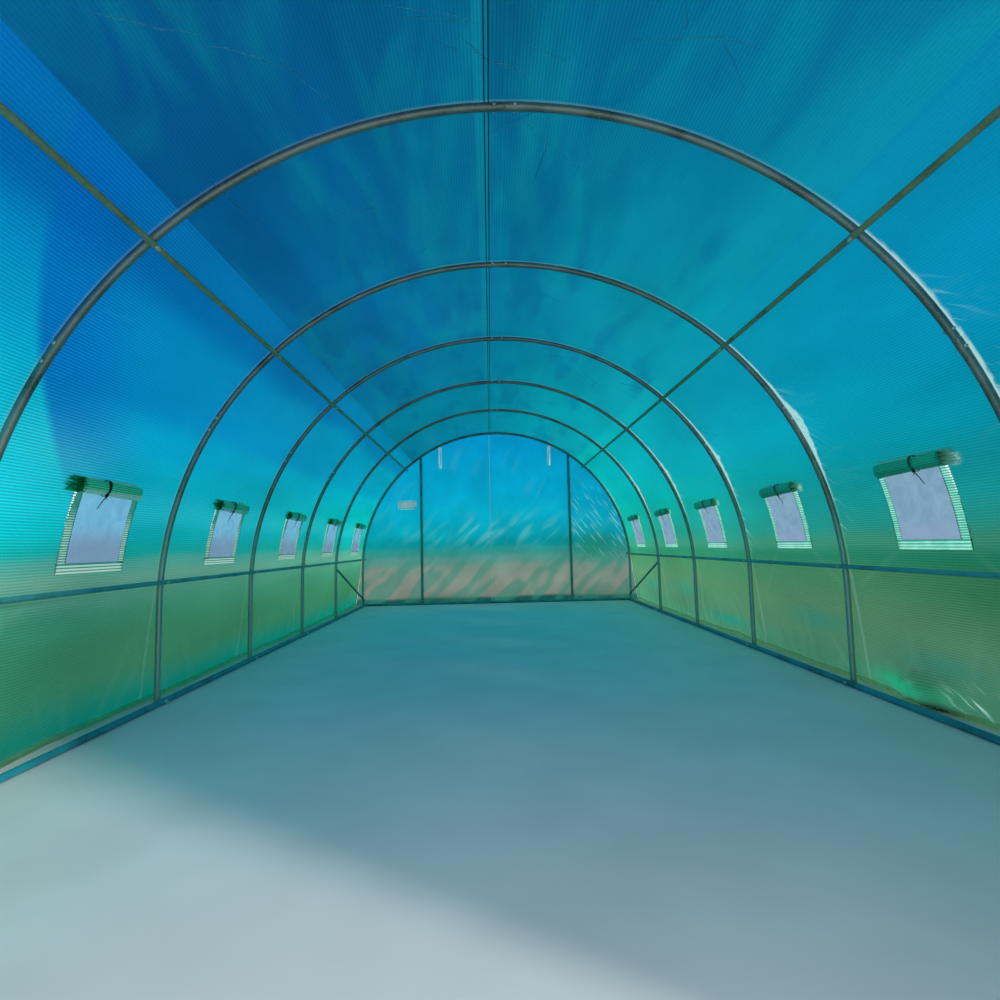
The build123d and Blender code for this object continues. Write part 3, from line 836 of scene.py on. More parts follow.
label_cloth = cloth("label_cloth", srgb(235, 240, 240), srgb(216, 228, 230), 0.002, through=0.7)
# pale folds: crease whitening on the roof, and painted glare on the short folds beside the right hoops
bright_fold = cloth("bright_fold", srgb(190, 244, 250), srgb(130, 226, 240), 0.02, through=0.9, rough=0.5)
soft_fold = cloth("soft_fold", srgb(84, 194, 210), srgb(44, 156, 184), 0.02, through=0.5, rough=0.5)


# Camera, light and floor, at the photograph's viewing angle
camera_place = (-0.0677, -3.451, 0.6425)
camera_yaw, camera_pitch, camera_roll = 0.0185, 0.079, -0.0227
picture_focus = 570.5  # in pixels of a picture 1000 wide
sensor = 36.0

right = Vector((cos(camera_yaw), -sin(camera_yaw), 0))
ahead = Vector((sin(camera_yaw) * cos(camera_pitch), cos(camera_yaw) * cos(camera_pitch), sin(camera_pitch)))
up = right.cross(ahead)
tilted_right = cos(camera_roll) * right + sin(camera_roll) * up
tilted_up = cos(camera_roll) * up - sin(camera_roll) * right
camera_data = bpy.data.cameras.new("camera")
camera_data.sensor_width = sensor
camera_data.lens = picture_focus * sensor / 1000
camera_data.clip_start = 0.02
camera = bpy.data.objects.new("camera", camera_data)
turned = Matrix((tilted_right, tilted_up, -ahead)).transposed().to_4x4()
camera.matrix_world = Matrix.Translation(camera_place) @ turned
bpy.context.scene.collection.objects.link(camera)
bpy.context.scene.camera = camera

sun_direction = Vector((2.6, -1.63, 1.25))
sun_data = bpy.data.lights.new("sun", "SUN")
sun_data.energy = 2.2
sun_data.angle = 0.12
sun_data.color = (1.0, 0.97, 0.92)
sun = bpy.data.objects.new("sun", sun_data)
sun.rotation_mode = "QUATERNION"
sun.rotation_quaternion = sun_direction.to_track_quat("Z", "Y")
bpy.context.scene.collection.objects.link(sun)

world = bpy.data.worlds.new("studio")
bpy.context.scene.world = world
world.use_nodes = True
world.node_tree.nodes.clear()
sky = node(world.node_tree, "Background", {"Color": (1, 1, 1, 1), "Strength": 1.0})
node(world.node_tree, "OutputWorld", {0: sky.outputs[0]})

floor_material, tree = new_material("pale_floor")
floor_coords, _, _, _ = object_place(tree)
floor_tones = [(0.3, (0.74, 0.73, 0.71)), (0.7, (0.8, 0.79, 0.77))]
floor_colour = ramp(tree, clouds(tree, floor_coords, 3.0, 2.0), floor_tones)
floor_shader = node(tree, "BsdfPrincipled", {"Base Color": floor_colour, "Roughness": 0.8})
finish_material(tree, floor_shader.outputs[0])
floor_mesh = bpy.data.meshes.new("floor")
floor_mesh.from_pydata([(-30, -30, 0), (30, -30, 0), (30, 30, 0), (-30, 30, 0)], [], [(0, 1, 2, 3)])
floor_mesh.materials.append(floor_material)
floor = bpy.data.objects.new("floor", floor_mesh)
bpy.context.scene.collection.objects.link(floor)
bpy.context.scene.view_settings.view_transform = "Standard"
light_paths = bpy.context.scene.cycles  # bounces enough for light that comes through two sheets
light_paths.max_bounces = 6
light_paths.diffuse_bounces = 3
light_paths.transmission_bounces = 4


# Cover


def steps(marks, size):
    """Places from the first mark to the last that pass through every mark, about size apart."""
    places = [marks[0]]
    for low, high in zip(marks[:-1], marks[1:]):
        step = size(low) if callable(size) else size
        count = max(1, round((high - low) / step))
        places += list(np.linspace(low, high, count + 1)[1:])
    return np.array(places)


def along_step(place):
    gap = min(abs(place + 0.001 - y) for y in hoop_places)
    return hoop_step if gap < hoop_reach else bay_step


def cover_sheet(name, side, top, bottom, holes, material):
    """One lengthwise sheet of the cover between two distances from the ridge."""
    marks = {top, bottom}
    reaches = [y + reach for y in hoop_places for reach in (-hoop_reach, hoop_reach)]
    stops = {min(max(place, -cover_end), cover_end) for place in reaches}
    if holes:
        marks |= {open_head[side], open_sill[side]}
        stops |= {place for span in holes for place in span}
    down = steps(sorted(marks), across_step)
    along = steps(sorted(stops), along_step)
    grid_down, grid_along = np.meshgrid(down, along, indexing="ij")
    points = on_cover(side * grid_down, grid_along)
    # white holds crease whitening with painted glare and light; the second value sets painted glare strokes
    white, glare_streak = whiteness(side * grid_down, grid_along)
    middle_down = (down[:-1] + down[1:])[:, None] / 2
    middle_along = (along[:-1] + along[1:])[None, :] / 2
    keep = np.ones((len(down) - 1, len(along) - 1), bool)
    for begin, end in holes:
        inside = (middle_down > open_head[side]) & (middle_down < open_sill[side])
        keep &= ~(inside & (middle_along > begin) & (middle_along < end))
    faces = grid_faces(len(down), len(along), keep)
    if side < 0:
        faces = faces[:, ::-1]
    uv = np.stack([grid_down, grid_along], axis=-1).reshape(-1, 2)
    tables = (uv, white.ravel(), glare_streak.ravel())
    points, faces, uv, white, glare_streak = without_spare(points.reshape(-1, 3), faces, *tables)
    piece = mesh_piece(name, points, faces, material, uv, {"white": white, "glare_streak": glare_streak})
    cut = sum(end - begin for begin, end in holes) * (open_sill[side] - open_head[side])
    return piece


for name, side in sides.items():
    roof = cover_sheet(f"{name}_roof_sheet", side, 0.0, seam_distance, [], roof_sheet)
    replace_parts(roof, f"{name}_roof_cover")
    holes = openings[name]
    wall = cover_sheet(f"{name}_side_sheet", side, seam_distance, hem_distance, holes, side_sheets[name])
    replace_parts(wall, f"{name}_side_cover")


# End walls


def wall_top(x):
    """Height of an end wall at a place across the tunnel."""
    x = np.abs(x)
    radius = sheet_radius - sheet_thickness
    leave = radius * cos(leave_angle)
    arch = leg_height + np.sqrt(np.maximum(radius**2 - x**2, 0))
    slope = leg_height + radius * sin(leave_angle) - (x - leave) / tan(leave_angle)
    return np.maximum(np.where(x < leave, arch, slope), 0.001)


rear_plane = (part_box("rear_door")[0].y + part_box("rear_door")[1].y) / 2
zip_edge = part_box("rear_wall_right")[0].x
wall_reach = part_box("rear_wall_right")[1].x
wall_panels = {  # from and to across, place along, seed, bow and how much painted glare streaks it
    "rear_wall_left": (-wall_reach, -zip_edge, rear_plane, 31, 0.004, 0.0),
    "rear_door": (-doorway_half, doorway_half, rear_plane, 35, 0.010, 0.0),
    "rear_wall_right": (zip_edge, wall_reach, rear_plane, 39, 0.004, 0.45),
    "front_wall_left": (-wall_reach, -zip_edge, -rear_plane, 43, -0.004, 0.0),
    "front_wall_right": (zip_edge, wall_reach, -rear_plane, 47, -0.004, 0.0),
}


seam_x = -0.060
strap_half = 0.010
strap_thick = 0.0007  # half the thickness
strap_low, strap_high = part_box("rear_door_straps")
hung_place = strap_high.x - strap_half  # of the rear straps, from the middle
strap_middle = (strap_low.z + strap_high.z) / 2
strap_reach = (strap_high.z - strap_low.z) / 2
label_place = (-1.0, 1.12)
label_half = (0.095, 0.042)
painted_backlight_patches = {  # middle and half sizes of the sheet's whitened patches behind the label and the hanging straps, painted light that makes them pale: across and up
    "rear_wall_left": [(*label_place, *label_half)],
    "rear_door": [(side * hung_place, strap_middle, 0.012, strap_reach) for side in (-1, 1)],
}


def wall_relief(panel, x, t):
    """How far an end wall's sheet stands out at each place, t up its height, and where it is creased."""
    low, high, _, seed, bow, _ = wall_panels[panel]
    z = t * wall_top(x)
    drops = noise(x + 0.35 * (z - 1), z * 0.3, (0.07, 0.35), seed)
    creased = np.exp(-((noise(x - 0.5 * z, z, (0.12, 0.5), seed + 1) / 0.12) ** 2))
    edge = smooth(np.minimum(x - low, high - x) / 0.1) * smooth((1 - t) * 8)
    return (0.004 * drops + 0.004 * creased + bow * np.sin(pi * t)) * edge, creased * edge


def on_wall(panel, x, z, out=0.0):
    """Points of an end wall's sheet, moved along the tunnel by out."""
    return np.stack([x, wall_panels[panel][2] + wall_relief(panel, x, z / wall_top(x))[0] + out, z], axis=-1)


def wall_sheet_piece(panel):
    """A flat sheet of an end wall, with folds that run down from the arch."""
    low, high, place, seed, _, glare_streaks = wall_panels[panel]
    marks = [low, seam_x - 0.004, seam_x, seam_x + 0.004, high] if panel == "rear_door" else [low, high]
    across = steps(marks, 0.014)
    x, t = np.meshgrid(across, np.linspace(0, 1, 110), indexing="ij")
    z = np.maximum(t * wall_top(x), 0.0004)
    out, creased = wall_relief(panel, x, t)
    white = 0.03 * creased * smooth(noise(x, z, (0.2, 0.3), seed + 2) + 0.2)
    for middle_x, middle_z, half_x, half_z in painted_backlight_patches.get(panel, []):
        inside = (np.abs(x - middle_x) < half_x) & (np.abs(z - middle_z) < half_z)
        # painted light: the sheet is whitened behind the label and straps
        white = np.where(inside, 0.9, white)
    # painted light: a whitened line under the rear door's seam thread, which makes it pale
    white = np.where(np.abs(x - seam_x) < 0.001, 0.55, white)
    # painted glare streaks about the middle height of the panel
    glare_streak = glare_streaks * np.exp(-(((z - 0.85) / 0.35) ** 2))
    points = np.stack([x, place + out, z], axis=-1)
    uv = np.stack([x, z], axis=-1)
    values = {"white": white, "glare_streak": glare_streak}
    piece = mesh_piece(panel + "_sheet", points, grid_faces(*x.shape), wall_sheet, uv, values)
    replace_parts(piece, panel)


for panel in wall_panels:
    wall_sheet_piece(panel)


# Tapes, stitches and sharp folds that follow the cover


def flat_run(path, step):
    """Stations along a path of flat points: run so far, places and the direction beside each."""
    path = np.asarray(path, float)
    run = run_along(path)
    stations = np.linspace(0, run[-1], max(5, int(run[-1] / step) + 1))
    centre = np.stack([np.interp(stations, run, path[:, k]) for k in (0, 1)], axis=-1)
    heading = np.gradient(centre, axis=0)
    heading /= np.linalg.norm(heading, axis=1)[:, None]
    return stations, centre, np.stack([-heading[:, 1], heading[:, 0]], axis=-1)


def tape_on_cover(parts, path, width, out, thickness=0.0008, step=0.02):
    """A sewn tape along a path of flat points (across, along), held at a distance out from the sheet."""
    stations, centre, beside = flat_run(path, step)
    corners = []
    for edge, level in ((1, 0.5), (-1, 0.5), (-1, -0.5), (1, -0.5)):
        flat = centre + edge * width / 2 * beside
        corners.append(on_cover(flat[:, 0], flat[:, 1], out + level * thickness))
    parts.skin(np.stack(corners, axis=1), [0, width, width, 0], stations)


def fold_on_cover(parts, path, width, seed):
    """A sharp fold along flat points: a low ridge on the inside that runs out at both ends."""
    random = np.random.default_rng(seed)
    stations, centre, beside = flat_run(path, 0.009)
    t = stations / stations[-1]
    centre = centre + 0.0012 * np.interp(t, np.linspace(0, 1, 9), random.uniform(-1, 1, 9))[:, None] * beside
    uneven = np.interp(t, np.linspace(0, 1, 12), random.uniform(0.55, 1, 12))
    half = width / 2 * np.sin(pi * t) ** 0.7 * uneven + 0.0002
    corners = []
    for edge, out in ((1, -0.0006 + 0 * half), (0, -0.0008 - 0.5 * half), (-1, -0.0006 + 0 * half)):
        flat = centre + edge * half[:, None] * beside
        corners.append(on_cover(flat[:, 0], flat[:, 1], out))
    parts.skin(np.stack(corners, axis=1), [0, width / 2, width], stations)


def stitches_on_cover(parts, start, stop, out, thread=0.0008):
    """A row of stitches between two flat points: short raised lengths of thread."""
    start, stop = np.asarray(start, float), np.asarray(stop, float)
    length = np.linalg.norm(stop - start)
    heading = (stop - start) / length
    beside = np.array([-heading[1], heading[0]]) * thread
    middle = np.arange(stitch_pitch, length - stitch_pitch, stitch_pitch)
    half = stitch_length / 2
    corners = []
    for forward, sideways in ((-half, 0), (0, 1), (half, 0), (0, -1)):
        flat = start + (middle + forward)[:, None] * heading + sideways * beside
        corners.append(on_cover(flat[:, 0], flat[:, 1], out))
    flat = start + middle[:, None] * heading
    crown = on_cover(flat[:, 0], flat[:, 1], out - thread)
    faces = [[5 * k + i, 5 * k + (i + 1) % 4, 5 * k + 4] for k in range(len(middle)) for i in range(4)]
    parts.add(np.stack([*corners, crown], axis=1), faces)


full = cover_end - 0.004  # seams and hems end this far from the middle of the tunnel
piping_rows = (ridge_seam, ridge_seam - 0.012)
seam_insets = (0.006, 0.014)  # of the stitches, from the seam
ridge_piping = Parts()
for across in piping_rows:
    tape_on_cover(ridge_piping, [(across, -full), (across, full)], 0.003, -0.0016, 0.0018)
ridge_piping.piece("ridge_piping", piping_cloth, "cover")

seam_threads = Parts()
for side in (-1, 1):
    for inset in seam_insets:
        across = side * (seam_distance + inset)
        stitches_on_cover(seam_threads, (across, -full), (across, full), -0.0012)
seam_threads.piece("seam_stitches", seam_cloth, "tie")

for name, side in sides.items():
    hem = Parts()
    across = side * (hem_distance - hem_width / 2)
    tape_on_cover(hem, [(across, -full), (across, full)], hem_width, -0.0018, 0.0012)
    hem.piece(f"{name}_hem", hem_cloth, "cover")
    hem_threads = Parts()
    for inset in (0.006, hem_width - 0.006):
        across = side * (hem_distance - inset)
        stitches_on_cover(hem_threads, (across, -full), (across, full), -0.0026)
    hem_threads.piece(f"{name}_hem_stitches", thread_cloth, "tie")

binding_width = 0.034
binding_end = hem_distance - 0.002
for name, end in ends.items():
    binding = Parts()
    along = end * (cover_end - binding_width / 2)
    tape_on_cover(binding, [(-binding_end, along), (binding_end, along)], binding_width, 0.0016, 0.001)
    binding.piece(f"{name}_arch_binding", binding_cloth, "seam_tape")

bright_folds, soft_folds = Parts(), Parts()
for seed, (width, points) in enumerate(roof_folds):
    parts = bright_folds if width > 0.0025 else soft_folds
    fold_on_cover(parts, [(angle_down(angle), along) for along, angle in points], width, seed)

random = np.random.default_rng(23)


def leaning_fold(parts, across, along, length, lean, width):
    """A straight fold from a flat place down and towards the front."""
    stop = (across + length * sin(lean), along - length * cos(lean))
    fold_on_cover(parts, [(across, along), stop], width, int(random.integers(1000)))


fold_gap = 0.013  # folds begin this far in front of a hoop's middle
# Short bright folds that fan from the hoops on the right: real folds, their paleness painted glare
for number, y in enumerate(hoop_places[1:6]):
    for _ in range(9):
        across = random.uniform(distance_at(1.36), distance_at(0.78))
        length, lean = random.uniform(0.02, 0.05), random.uniform(0.2, 1.1)
        leaning_fold(bright_folds, across, y - fold_gap, length, lean, random.uniform(0.002, 0.0035))
    for _ in range(2 if 0 < number < 4 else 0):
        across = random.uniform(distance_at(1.34), distance_at(1.12))
        length, lean = random.uniform(0.14, 0.26), random.uniform(0.35, 0.95)
        leaning_fold(bright_folds, across, y - fold_gap, length, lean, 0.0042)
for _ in range(36):
    across, along = random.uniform(-0.9, 0.9), random.uniform(-2.8, 2.8)
    length, lean = random.uniform(0.08, 0.3), random.uniform(-1.4, 1.4)
    leaning_fold(soft_folds, across, along, length, lean, random.uniform(0.002, 0.0035))
bright_folds.piece("bright_folds", bright_fold, "cover")
soft_folds.piece("soft_folds", soft_fold, "cover")


# Windows
roll_outer = 0.0285
roll_inner = 0.007
roll_depth = 0.62  # how deep a flattened roll is against its height
roll_turns = 3.5
fray_length = 0.054
fray_threads = 34
tie_width = 0.014
tie_half = 0.0008  # half the thickness
lip_length = 0.037


def flap_paint(tone, under, drop):
    """Paint of a rolled flap: a pale sewn edge on top and another tone on its lower half."""
    middle = roll_height - drop
    lip_top = middle + 0.94 * lip_length

    def paint(tree, coords, x, y, z):
        colour = mixed(tree, falling(tree, z, middle - 0.012, middle - 0.002), tone, under)
        return mixed(tree, rising(tree, z, lip_top - 0.009, lip_top - 0.005), colour, srgb(190, 250, 215))

    return paint


left_flap = flap_paint(srgb(80, 226, 170), srgb(206, 250, 230), head_drop[-1])
right_flap = flap_paint(srgb(56, 214, 172), srgb(42, 194, 154), head_drop[1])
flap_sheets = {
    "left": woven_sheet("left_flap_sheet", left_flap, ribs=1.5, through=0.12),
    "right": woven_sheet("right_flap_sheet", right_flap, ribs=1.5, through=0.12),
}


def net(name, side, number, begin, end):
    """The net of one window, a little slack in its frame."""
    down = np.linspace(open_head[side], net_sill[side] + 0.001, 26)
    along = np.linspace(begin - 0.001, end + 0.001, 30)
    p, q = np.meshgrid(down, along, indexing="ij")
    u = (p - down[0]) / (down[-1] - down[0])
    v = (q - along[0]) / (along[-1] - along[0])
    edge = smooth(np.minimum(u, 1 - u) * 6) * smooth(np.minimum(v, 1 - v) * 6)
    slant = u + 0.75 * v + 0.12 * noise(p, q, (0.05, 0.07), 60 + number)
    slackness = 0.0012 if number == 2 else 0.0042
    fold = slackness * np.sin(slant * (9 if number == 2 else 12)) * edge
    fold += 0.0012 * noise(p, q, (0.03, 0.04), 70 + number) * edge
    points = on_cover(side * p, q, fold)
    faces = grid_faces(*p.shape)
    if side < 0:
        faces = faces[:, ::-1]
    uv = np.stack([p, q], axis=-1)
    piece = mesh_piece(f"{name}_window_net_{number}", points, faces, net_cloths[name], uv)
    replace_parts(piece, f"{name}_window_meshes")


ground_out = -0.0014  # where the tapes' ground lies, out from the sheet: under it, so less than 0
thread_out = -0.0022
thread_thick = 0.0010
ground_lap = 0.0004  # how much broader the ground is than the gap between two threads


def frame_of(parts, threads, side, begin, end, seed):
    """The tapes sewn round one window: pale threads with the tape's ground showing between them."""
    random = np.random.default_rng(seed)
    head, sill = open_head[side], net_sill[side]
    head_line = side * (head - tape_head / 2)
    path = [(head_line, begin - tape_front), (head_line, end + tape_rear)]
    tape_on_cover(parts, path, tape_head + 0.003, -0.0016)
    rows = np.array([0, 0.006, 0.014, 0.017, 0.026, 0.028, tape_foot + 0.002])
    for index, (low, high) in enumerate(zip(rows[:-1], rows[1:])):
        place = side * (sill + (low + high) / 2)
        path = [(place, begin - 1.15 * tape_front), (place, end + tape_rear)]
        if index % 2:
            tape_on_cover(threads, path, high - low, thread_out, thread_thick)
        else:
            tape_on_cover(parts, path, high - low + ground_lap, ground_out)
    for edge, lean, width in ((begin, -1, tape_front), (end, 1, tape_rear)):
        down = head
        while down < sill:
            flare = 1 if lean > 0 else 0.75 + 0.45 * (down - head) / (sill - head)
            ground, thread = random.uniform(0.0030, 0.0042), random.uniform(0.0044, 0.0058)
            middle = side * (down + ground / 2)
            inner = edge - lean * 0.001
            outer = edge + lean * (width + 0.0015)
            tape_on_cover(parts, [(middle, inner), (middle, outer)], ground + ground_lap, ground_out)
            middle = side * (down + ground + thread / 2)
            slant = side * random.uniform(-0.0008, 0.0008)
            stop = edge + lean * (width * flare + random.uniform(-0.001, 0.006))
            tape_on_cover(threads, [(middle - slant, inner), (middle + slant, stop)], thread, -0.0020, 0.0012)
            down += ground + thread


def around_roll(side, radius, turn, along, tilt_middle):
    """Points round a window's rolled flap; turn 0 faces the sheet and a quarter turn faces up."""
    ring = hypot(roll_radius, roll_height - leg_height)
    lean = asin((roll_height - leg_height) / ring) - head_drop[side] / ring
    ring += 0.026 - roll_outer * roll_depth
    outward = ring + radius * roll_depth * np.cos(turn)
    upward = radius * np.sin(turn)
    x = outward * cos(lean) - upward * sin(lean)
    z = leg_height + outward * sin(lean) + upward * cos(lean) - 0.022 * (along - tilt_middle)
    return np.stack([side * x, along, z], axis=-1)


def rolled_flap(name, side, number, begin, end):
    """One window's flap, rolled up, with its sewn lip above and its frayed end towards the front."""
    middle = (begin + end) / 2
    turns = np.linspace(-2 * pi * roll_turns, 0, int(roll_turns * 26))
    along = np.linspace(0, 1, 34)
    turn, t = np.meshgrid(turns, along, indexing="ij")
    share = (turn - turns[0]) / -turns[0]
    radius = roll_inner + (roll_outer - roll_inner) * share
    start = begin + fray_length + 0.006 * noise(turn, turn, (1.4, 1), 80 + number)
    stop = end - 0.005 - 0.005 * noise(turn, turn, (1.1, 1), 90 + number)
    place = start + (stop - start) * t
    crush = 0.0011 * noise(turn, place, (0.22, 0.09), 100 + number)
    crush += 0.0007 * noise(turn, place, (0.10, 0.5), 7)
    pinch = 0.0022 * np.exp(-(((place - middle) / 0.018) ** 2))
    points = around_roll(side, radius + (crush - pinch) * share, turn, place, middle)
    lip_rise = np.linspace(0.003, lip_length, 8)
    rise, q = np.meshgrid(lip_rise, place[-1], indexing="ij")
    top = distance_at(roll_height) + head_drop[side] - rise
    lip = on_cover(side * top, q, -0.0016)
    points = np.concatenate([points, lip])
    flat = np.concatenate([turn * roll_outer, rise])
    uv = np.stack([flat, np.concatenate([place, q])], axis=-1)
    faces = grid_faces(*flat.shape)
    piece = mesh_piece(f"{name}_window_roll_{number}", points, faces, flap_sheets[name], uv)
    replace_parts(piece, f"{name}_window_rolls")


def frayed_end(parts, side, number, begin, end):
    """Loose threads that stand out of the front end of a rolled flap."""
    random = np.random.default_rng(110 + number)
    middle = (begin + end) / 2
    for k in range(fray_threads):
        turn = -2 * pi * roll_turns * (k + random.uniform(0, 1)) / fray_threads
        share = 1 + turn / (2 * pi * roll_turns)
        radius = roll_inner + (roll_outer - roll_inner) * share
        reach = random.uniform(0.85, 1.02) * fray_length
        t = np.linspace(0, 1, 6)
        along = begin + fray_length + 0.012 - (reach + 0.012) * t
        spread = radius + 0.001 * t * random.uniform(-1, 1)
        curl = turn + 0.15 * t * t * random.uniform(-1, 1)
        path = around_roll(side, np.minimum(spread, roll_outer - 0.001), curl, along, middle)
        tube(parts, path, random.uniform(0.0016, 0.0024) * (1 - 0.3 * t), 5)


def tie_of(parts, side, number, begin, end):
    """The tape tied round the middle of a rolled flap, with its knot and two tails."""
    random = np.random.default_rng(130 + number)
    middle = (begin + end) / 2 + random.uniform(-0.012, 0.006)
    turn = np.linspace(-2 * pi, 0, 41)
    radius = roll_outer + tie_half
    place = np.full(len(turn), middle)
    inner = around_roll(side, radius - tie_half, turn, place, middle)
    outer = around_roll(side, radius + tie_half, turn, place, middle)
    wide = np.array([0, tie_width / 2, 0]) * (0.72 + 0.28 * np.sin(turn))[:, None]
    strip_along(parts, (inner + outer) / 2, wide, (outer - inner) / 2, tie_width)
    knot = around_roll(side, radius + 0.002, -0.72 * pi, middle, middle)
    loop = np.linspace(0, 2 * pi, 15)
    ring = [side * -0.0015 * np.sin(2 * loop), 0.0055 * np.cos(loop), 0.0042 * np.sin(loop)]
    ring = np.stack(ring, axis=-1)
    tube(parts, knot + ring, 0.0021, 7)
    for reach, heading in ((0.060, -0.55), (0.014, 0.9)):
        t = np.linspace(0, 1, 8)
        sideways = side * (0.010 * t + 0.0015 * np.sin(3 * t))
        path = knot + np.stack([sideways, heading * reach * t, -reach * 0.8 * t], axis=-1)
        tube(parts, path, 0.0019 - 0.0007 * t, 6)


for name, side in sides.items():
    frame_tapes, frame_threads, frays, ties = Parts(), Parts(), Parts(), Parts()
    for number, (begin, end) in enumerate(nets[name], start=1):
        net(name, side, number, begin, end)
        frame_of(frame_tapes, frame_threads, side, begin, end, 50 + number)
    for number, (begin, end) in enumerate(roll_spans[name], start=1):
        rolled_flap(name, side, number, begin, end)
        frayed_end(frays, side, number, begin, end)
        tie_of(ties, side, number, begin, end)
    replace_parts(frame_tapes.piece(f"{name}_window_tapes", tape_cloth, "seam_tape"), f"{name}_window_frames")
    frame_threads.piece(f"{name}_window_threads", thread_cloths[name], "seam_tape")
    frays.piece(f"{name}_flap_frays", fray_cloths[name], "flap")
    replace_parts(ties.piece(f"{name}_flap_ties", tie_cloth, "tie"), f"{name}_window_ties")


# Tubes, smooth and round, in place of the plain hoops
joint_angles = (31.5, 90.0, 148.5)
tube_sides = 20
socket_profile = (  # of a joint: place along the tube and how far it stands out
    (-0.058, 0.0), (-0.052, 0.0007), (-0.002, 0.0007), (-0.0006, 0.0003), (0.0004, -0.0012),
    (0.003, -0.0006), (0.008, 0.0),
)


def hoop_piece(label, y):
    """One hoop: two legs and the arch, with the flared end of each joint."""
    stations = [(-hoop_radius, z, pi, 0.0) for z in np.linspace(0, leg_height, 7)[:-1]]
    bends = [(angle, 0.0) for angle in np.radians(np.arange(0, 180.1, 1.8))]
    for joint in joint_angles:
        bends = [b for b in bends if abs(b[0] - joint * pi / 180) * hoop_radius > 0.066]
        bends += [(joint * pi / 180 + offset / hoop_radius, grow) for offset, grow in socket_profile]
    for angle, grow in sorted(bends, reverse=True):
        stations.append((hoop_radius * cos(angle), leg_height + hoop_radius * sin(angle), angle, grow))
    stations += [(hoop_radius, z, 0.0, 0.0) for z in np.linspace(leg_height, 0, 7)[1:]]
    turn = np.arange(tube_sides) * 2 * pi / tube_sides
    rings = []
    for x, z, angle, grow in stations:
        radius = hoop_tube + grow
        away = radius * np.cos(turn)
        ring = [x + away * cos(angle), y + radius * np.sin(turn), z + away * sin(angle)]
        rings.append(np.stack(ring, axis=-1))
    points = np.concatenate(rings)
    points[:, 2] = np.maximum(points[:, 2], 0)
    faces = grid_faces(len(stations), tube_sides, closed=True)
    piece = mesh_piece(label + "_tube", points, faces, hoop_steel)
    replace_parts(piece, label)


for label, y in zip(hoop_nodes, hoop_places):
    hoop_piece(label, y)

steel_of = {
    "base_rail": rail_steel, "waist_rail": waist_steel, "purlin": purlin_steel, "brace": post_steel,
    "door_post": post_steel,
}
for label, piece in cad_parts.items():
    for ending, material in steel_of.items():
        if label.endswith(ending):
            piece.data.materials.clear()
            piece.data.materials.append(material)


# Bolts
washer = lathe([(0.0032, 0), (0.0078, 0), (0.0080, 0.0006), (0.0076, 0.0014), (0.0032, 0.0014)], 14)
nut = lathe([(0.0052, 0.0014), (0.0060, 0.0019), (0.0060, 0.0058), (0.0052, 0.0064)], 6)
thread_end = lathe([(0.0031, 0.0050), (0.0031, 0.0104), (0.0026, 0.0112)], 10)
pan_head = lathe([(0.0062, 0), (0.0064, 0.0014), (0.0052, 0.0034), (0.0028, 0.0042), (0.0010, 0.0043)], 14)


rail_end = 0.016  # least distance from a bolt to the end of its rail
screw_offset = 0.030  # from a joint of a hoop to its screws
post_bolts = (0.055, 0.042)  # below the top of a door post and above its foot


def along_rail(y, low, high):
    """The place of a bolt on a rail, as near y as the rail's ends allow."""
    return min(max(y, low.y + rail_end), high.y - rail_end)


def fasten(parts, place, axis, shapes):
    """Washers, nuts and heads at a place, standing out along an axis."""
    turned = np.array(Vector(axis).to_track_quat("Z", "Y").to_matrix())
    for points, faces in shapes:
        parts.add(points @ turned.T + np.array(place), faces)


bolts = Parts()
nut_set = (washer, nut, thread_end)
for label in ("left_waist_rail", "right_waist_rail", "left_shoulder_purlin", "right_shoulder_purlin"):
    low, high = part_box(label)
    x, z = (low.x + high.x) / 2, (low.z + high.z) / 2
    inward = Vector((-x, 0, leg_height - z)).normalized()
    half = (high.z - low.z) / 2
    for y in hoop_places:
        fasten(bolts, Vector((x, along_rail(y, low, high), z)) + inward * half * 0.98, inward, nut_set)
for y in hoop_places:
    for joint in joint_angles:
        for offset in (-screw_offset, screw_offset):
            angle = joint * pi / 180 + offset / hoop_radius
            x, z = hoop_radius * cos(angle), leg_height + hoop_radius * sin(angle)
            fasten(bolts, (x, y - hoop_tube, z), (0, -1, 0), (pan_head,))
            fasten(bolts, (x, y + hoop_tube, z), (0, 1, 0), nut_set)
    for side, label in ((-1, "left_base_rail"), (1, "right_base_rail")):
        low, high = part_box(label)
        inner = low.x if side > 0 else high.x
        place = (inner, along_rail(y, low, high), (low.z + high.z) / 2)
        fasten(bolts, place, (-side, 0, 0), nut_set)
tab_half = 0.012
for end, toward in ends.items():
    for name, side in sides.items():
        low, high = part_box(f"{end}_{name}_brace")
        x = (low.x + high.x) / 2 - side * 0.0015
        near, far = (high.y, low.y) if toward < 0 else (low.y, high.y)
        top_y, foot_y = near + toward * tab_half, far - toward * tab_half
        fasten(bolts, (x, top_y, high.z - tab_half), (-side, 0, 0), nut_set)
        fasten(bolts, (x, foot_y, low.z + tab_half), (-side, 0, 0), nut_set)
        low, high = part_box(f"{end}_{name}_door_post")
        x = (low.x + high.x) / 2
        inner = low.y if toward > 0 else high.y
        for z in (high.z - post_bolts[0], post_bolts[1]):
            fasten(bolts, (x, inner, z), (0, -toward, 0), nut_set)
bolts.piece("bolts", bolt_steel, "galvanised_tube")


# Doors and end walls


def upright(x, y, heights):
    """Points above one another at some heights."""
    return np.stack([np.full(len(heights), x), np.full(len(heights), y), heights], axis=-1)


tooth_pitch = 0.0056
tooth_half = (0.0021, 0.0019, 0.0014)
tooth = np.array([(i, j, k) for i in (-1, 1) for j in (-1, 1) for k in (-1, 1)]) * tooth_half
tooth_faces = [(0, 1, 3, 2), (4, 6, 7, 5), (0, 4, 5, 1), (2, 3, 7, 6), (0, 2, 6, 4), (1, 5, 7, 3)]


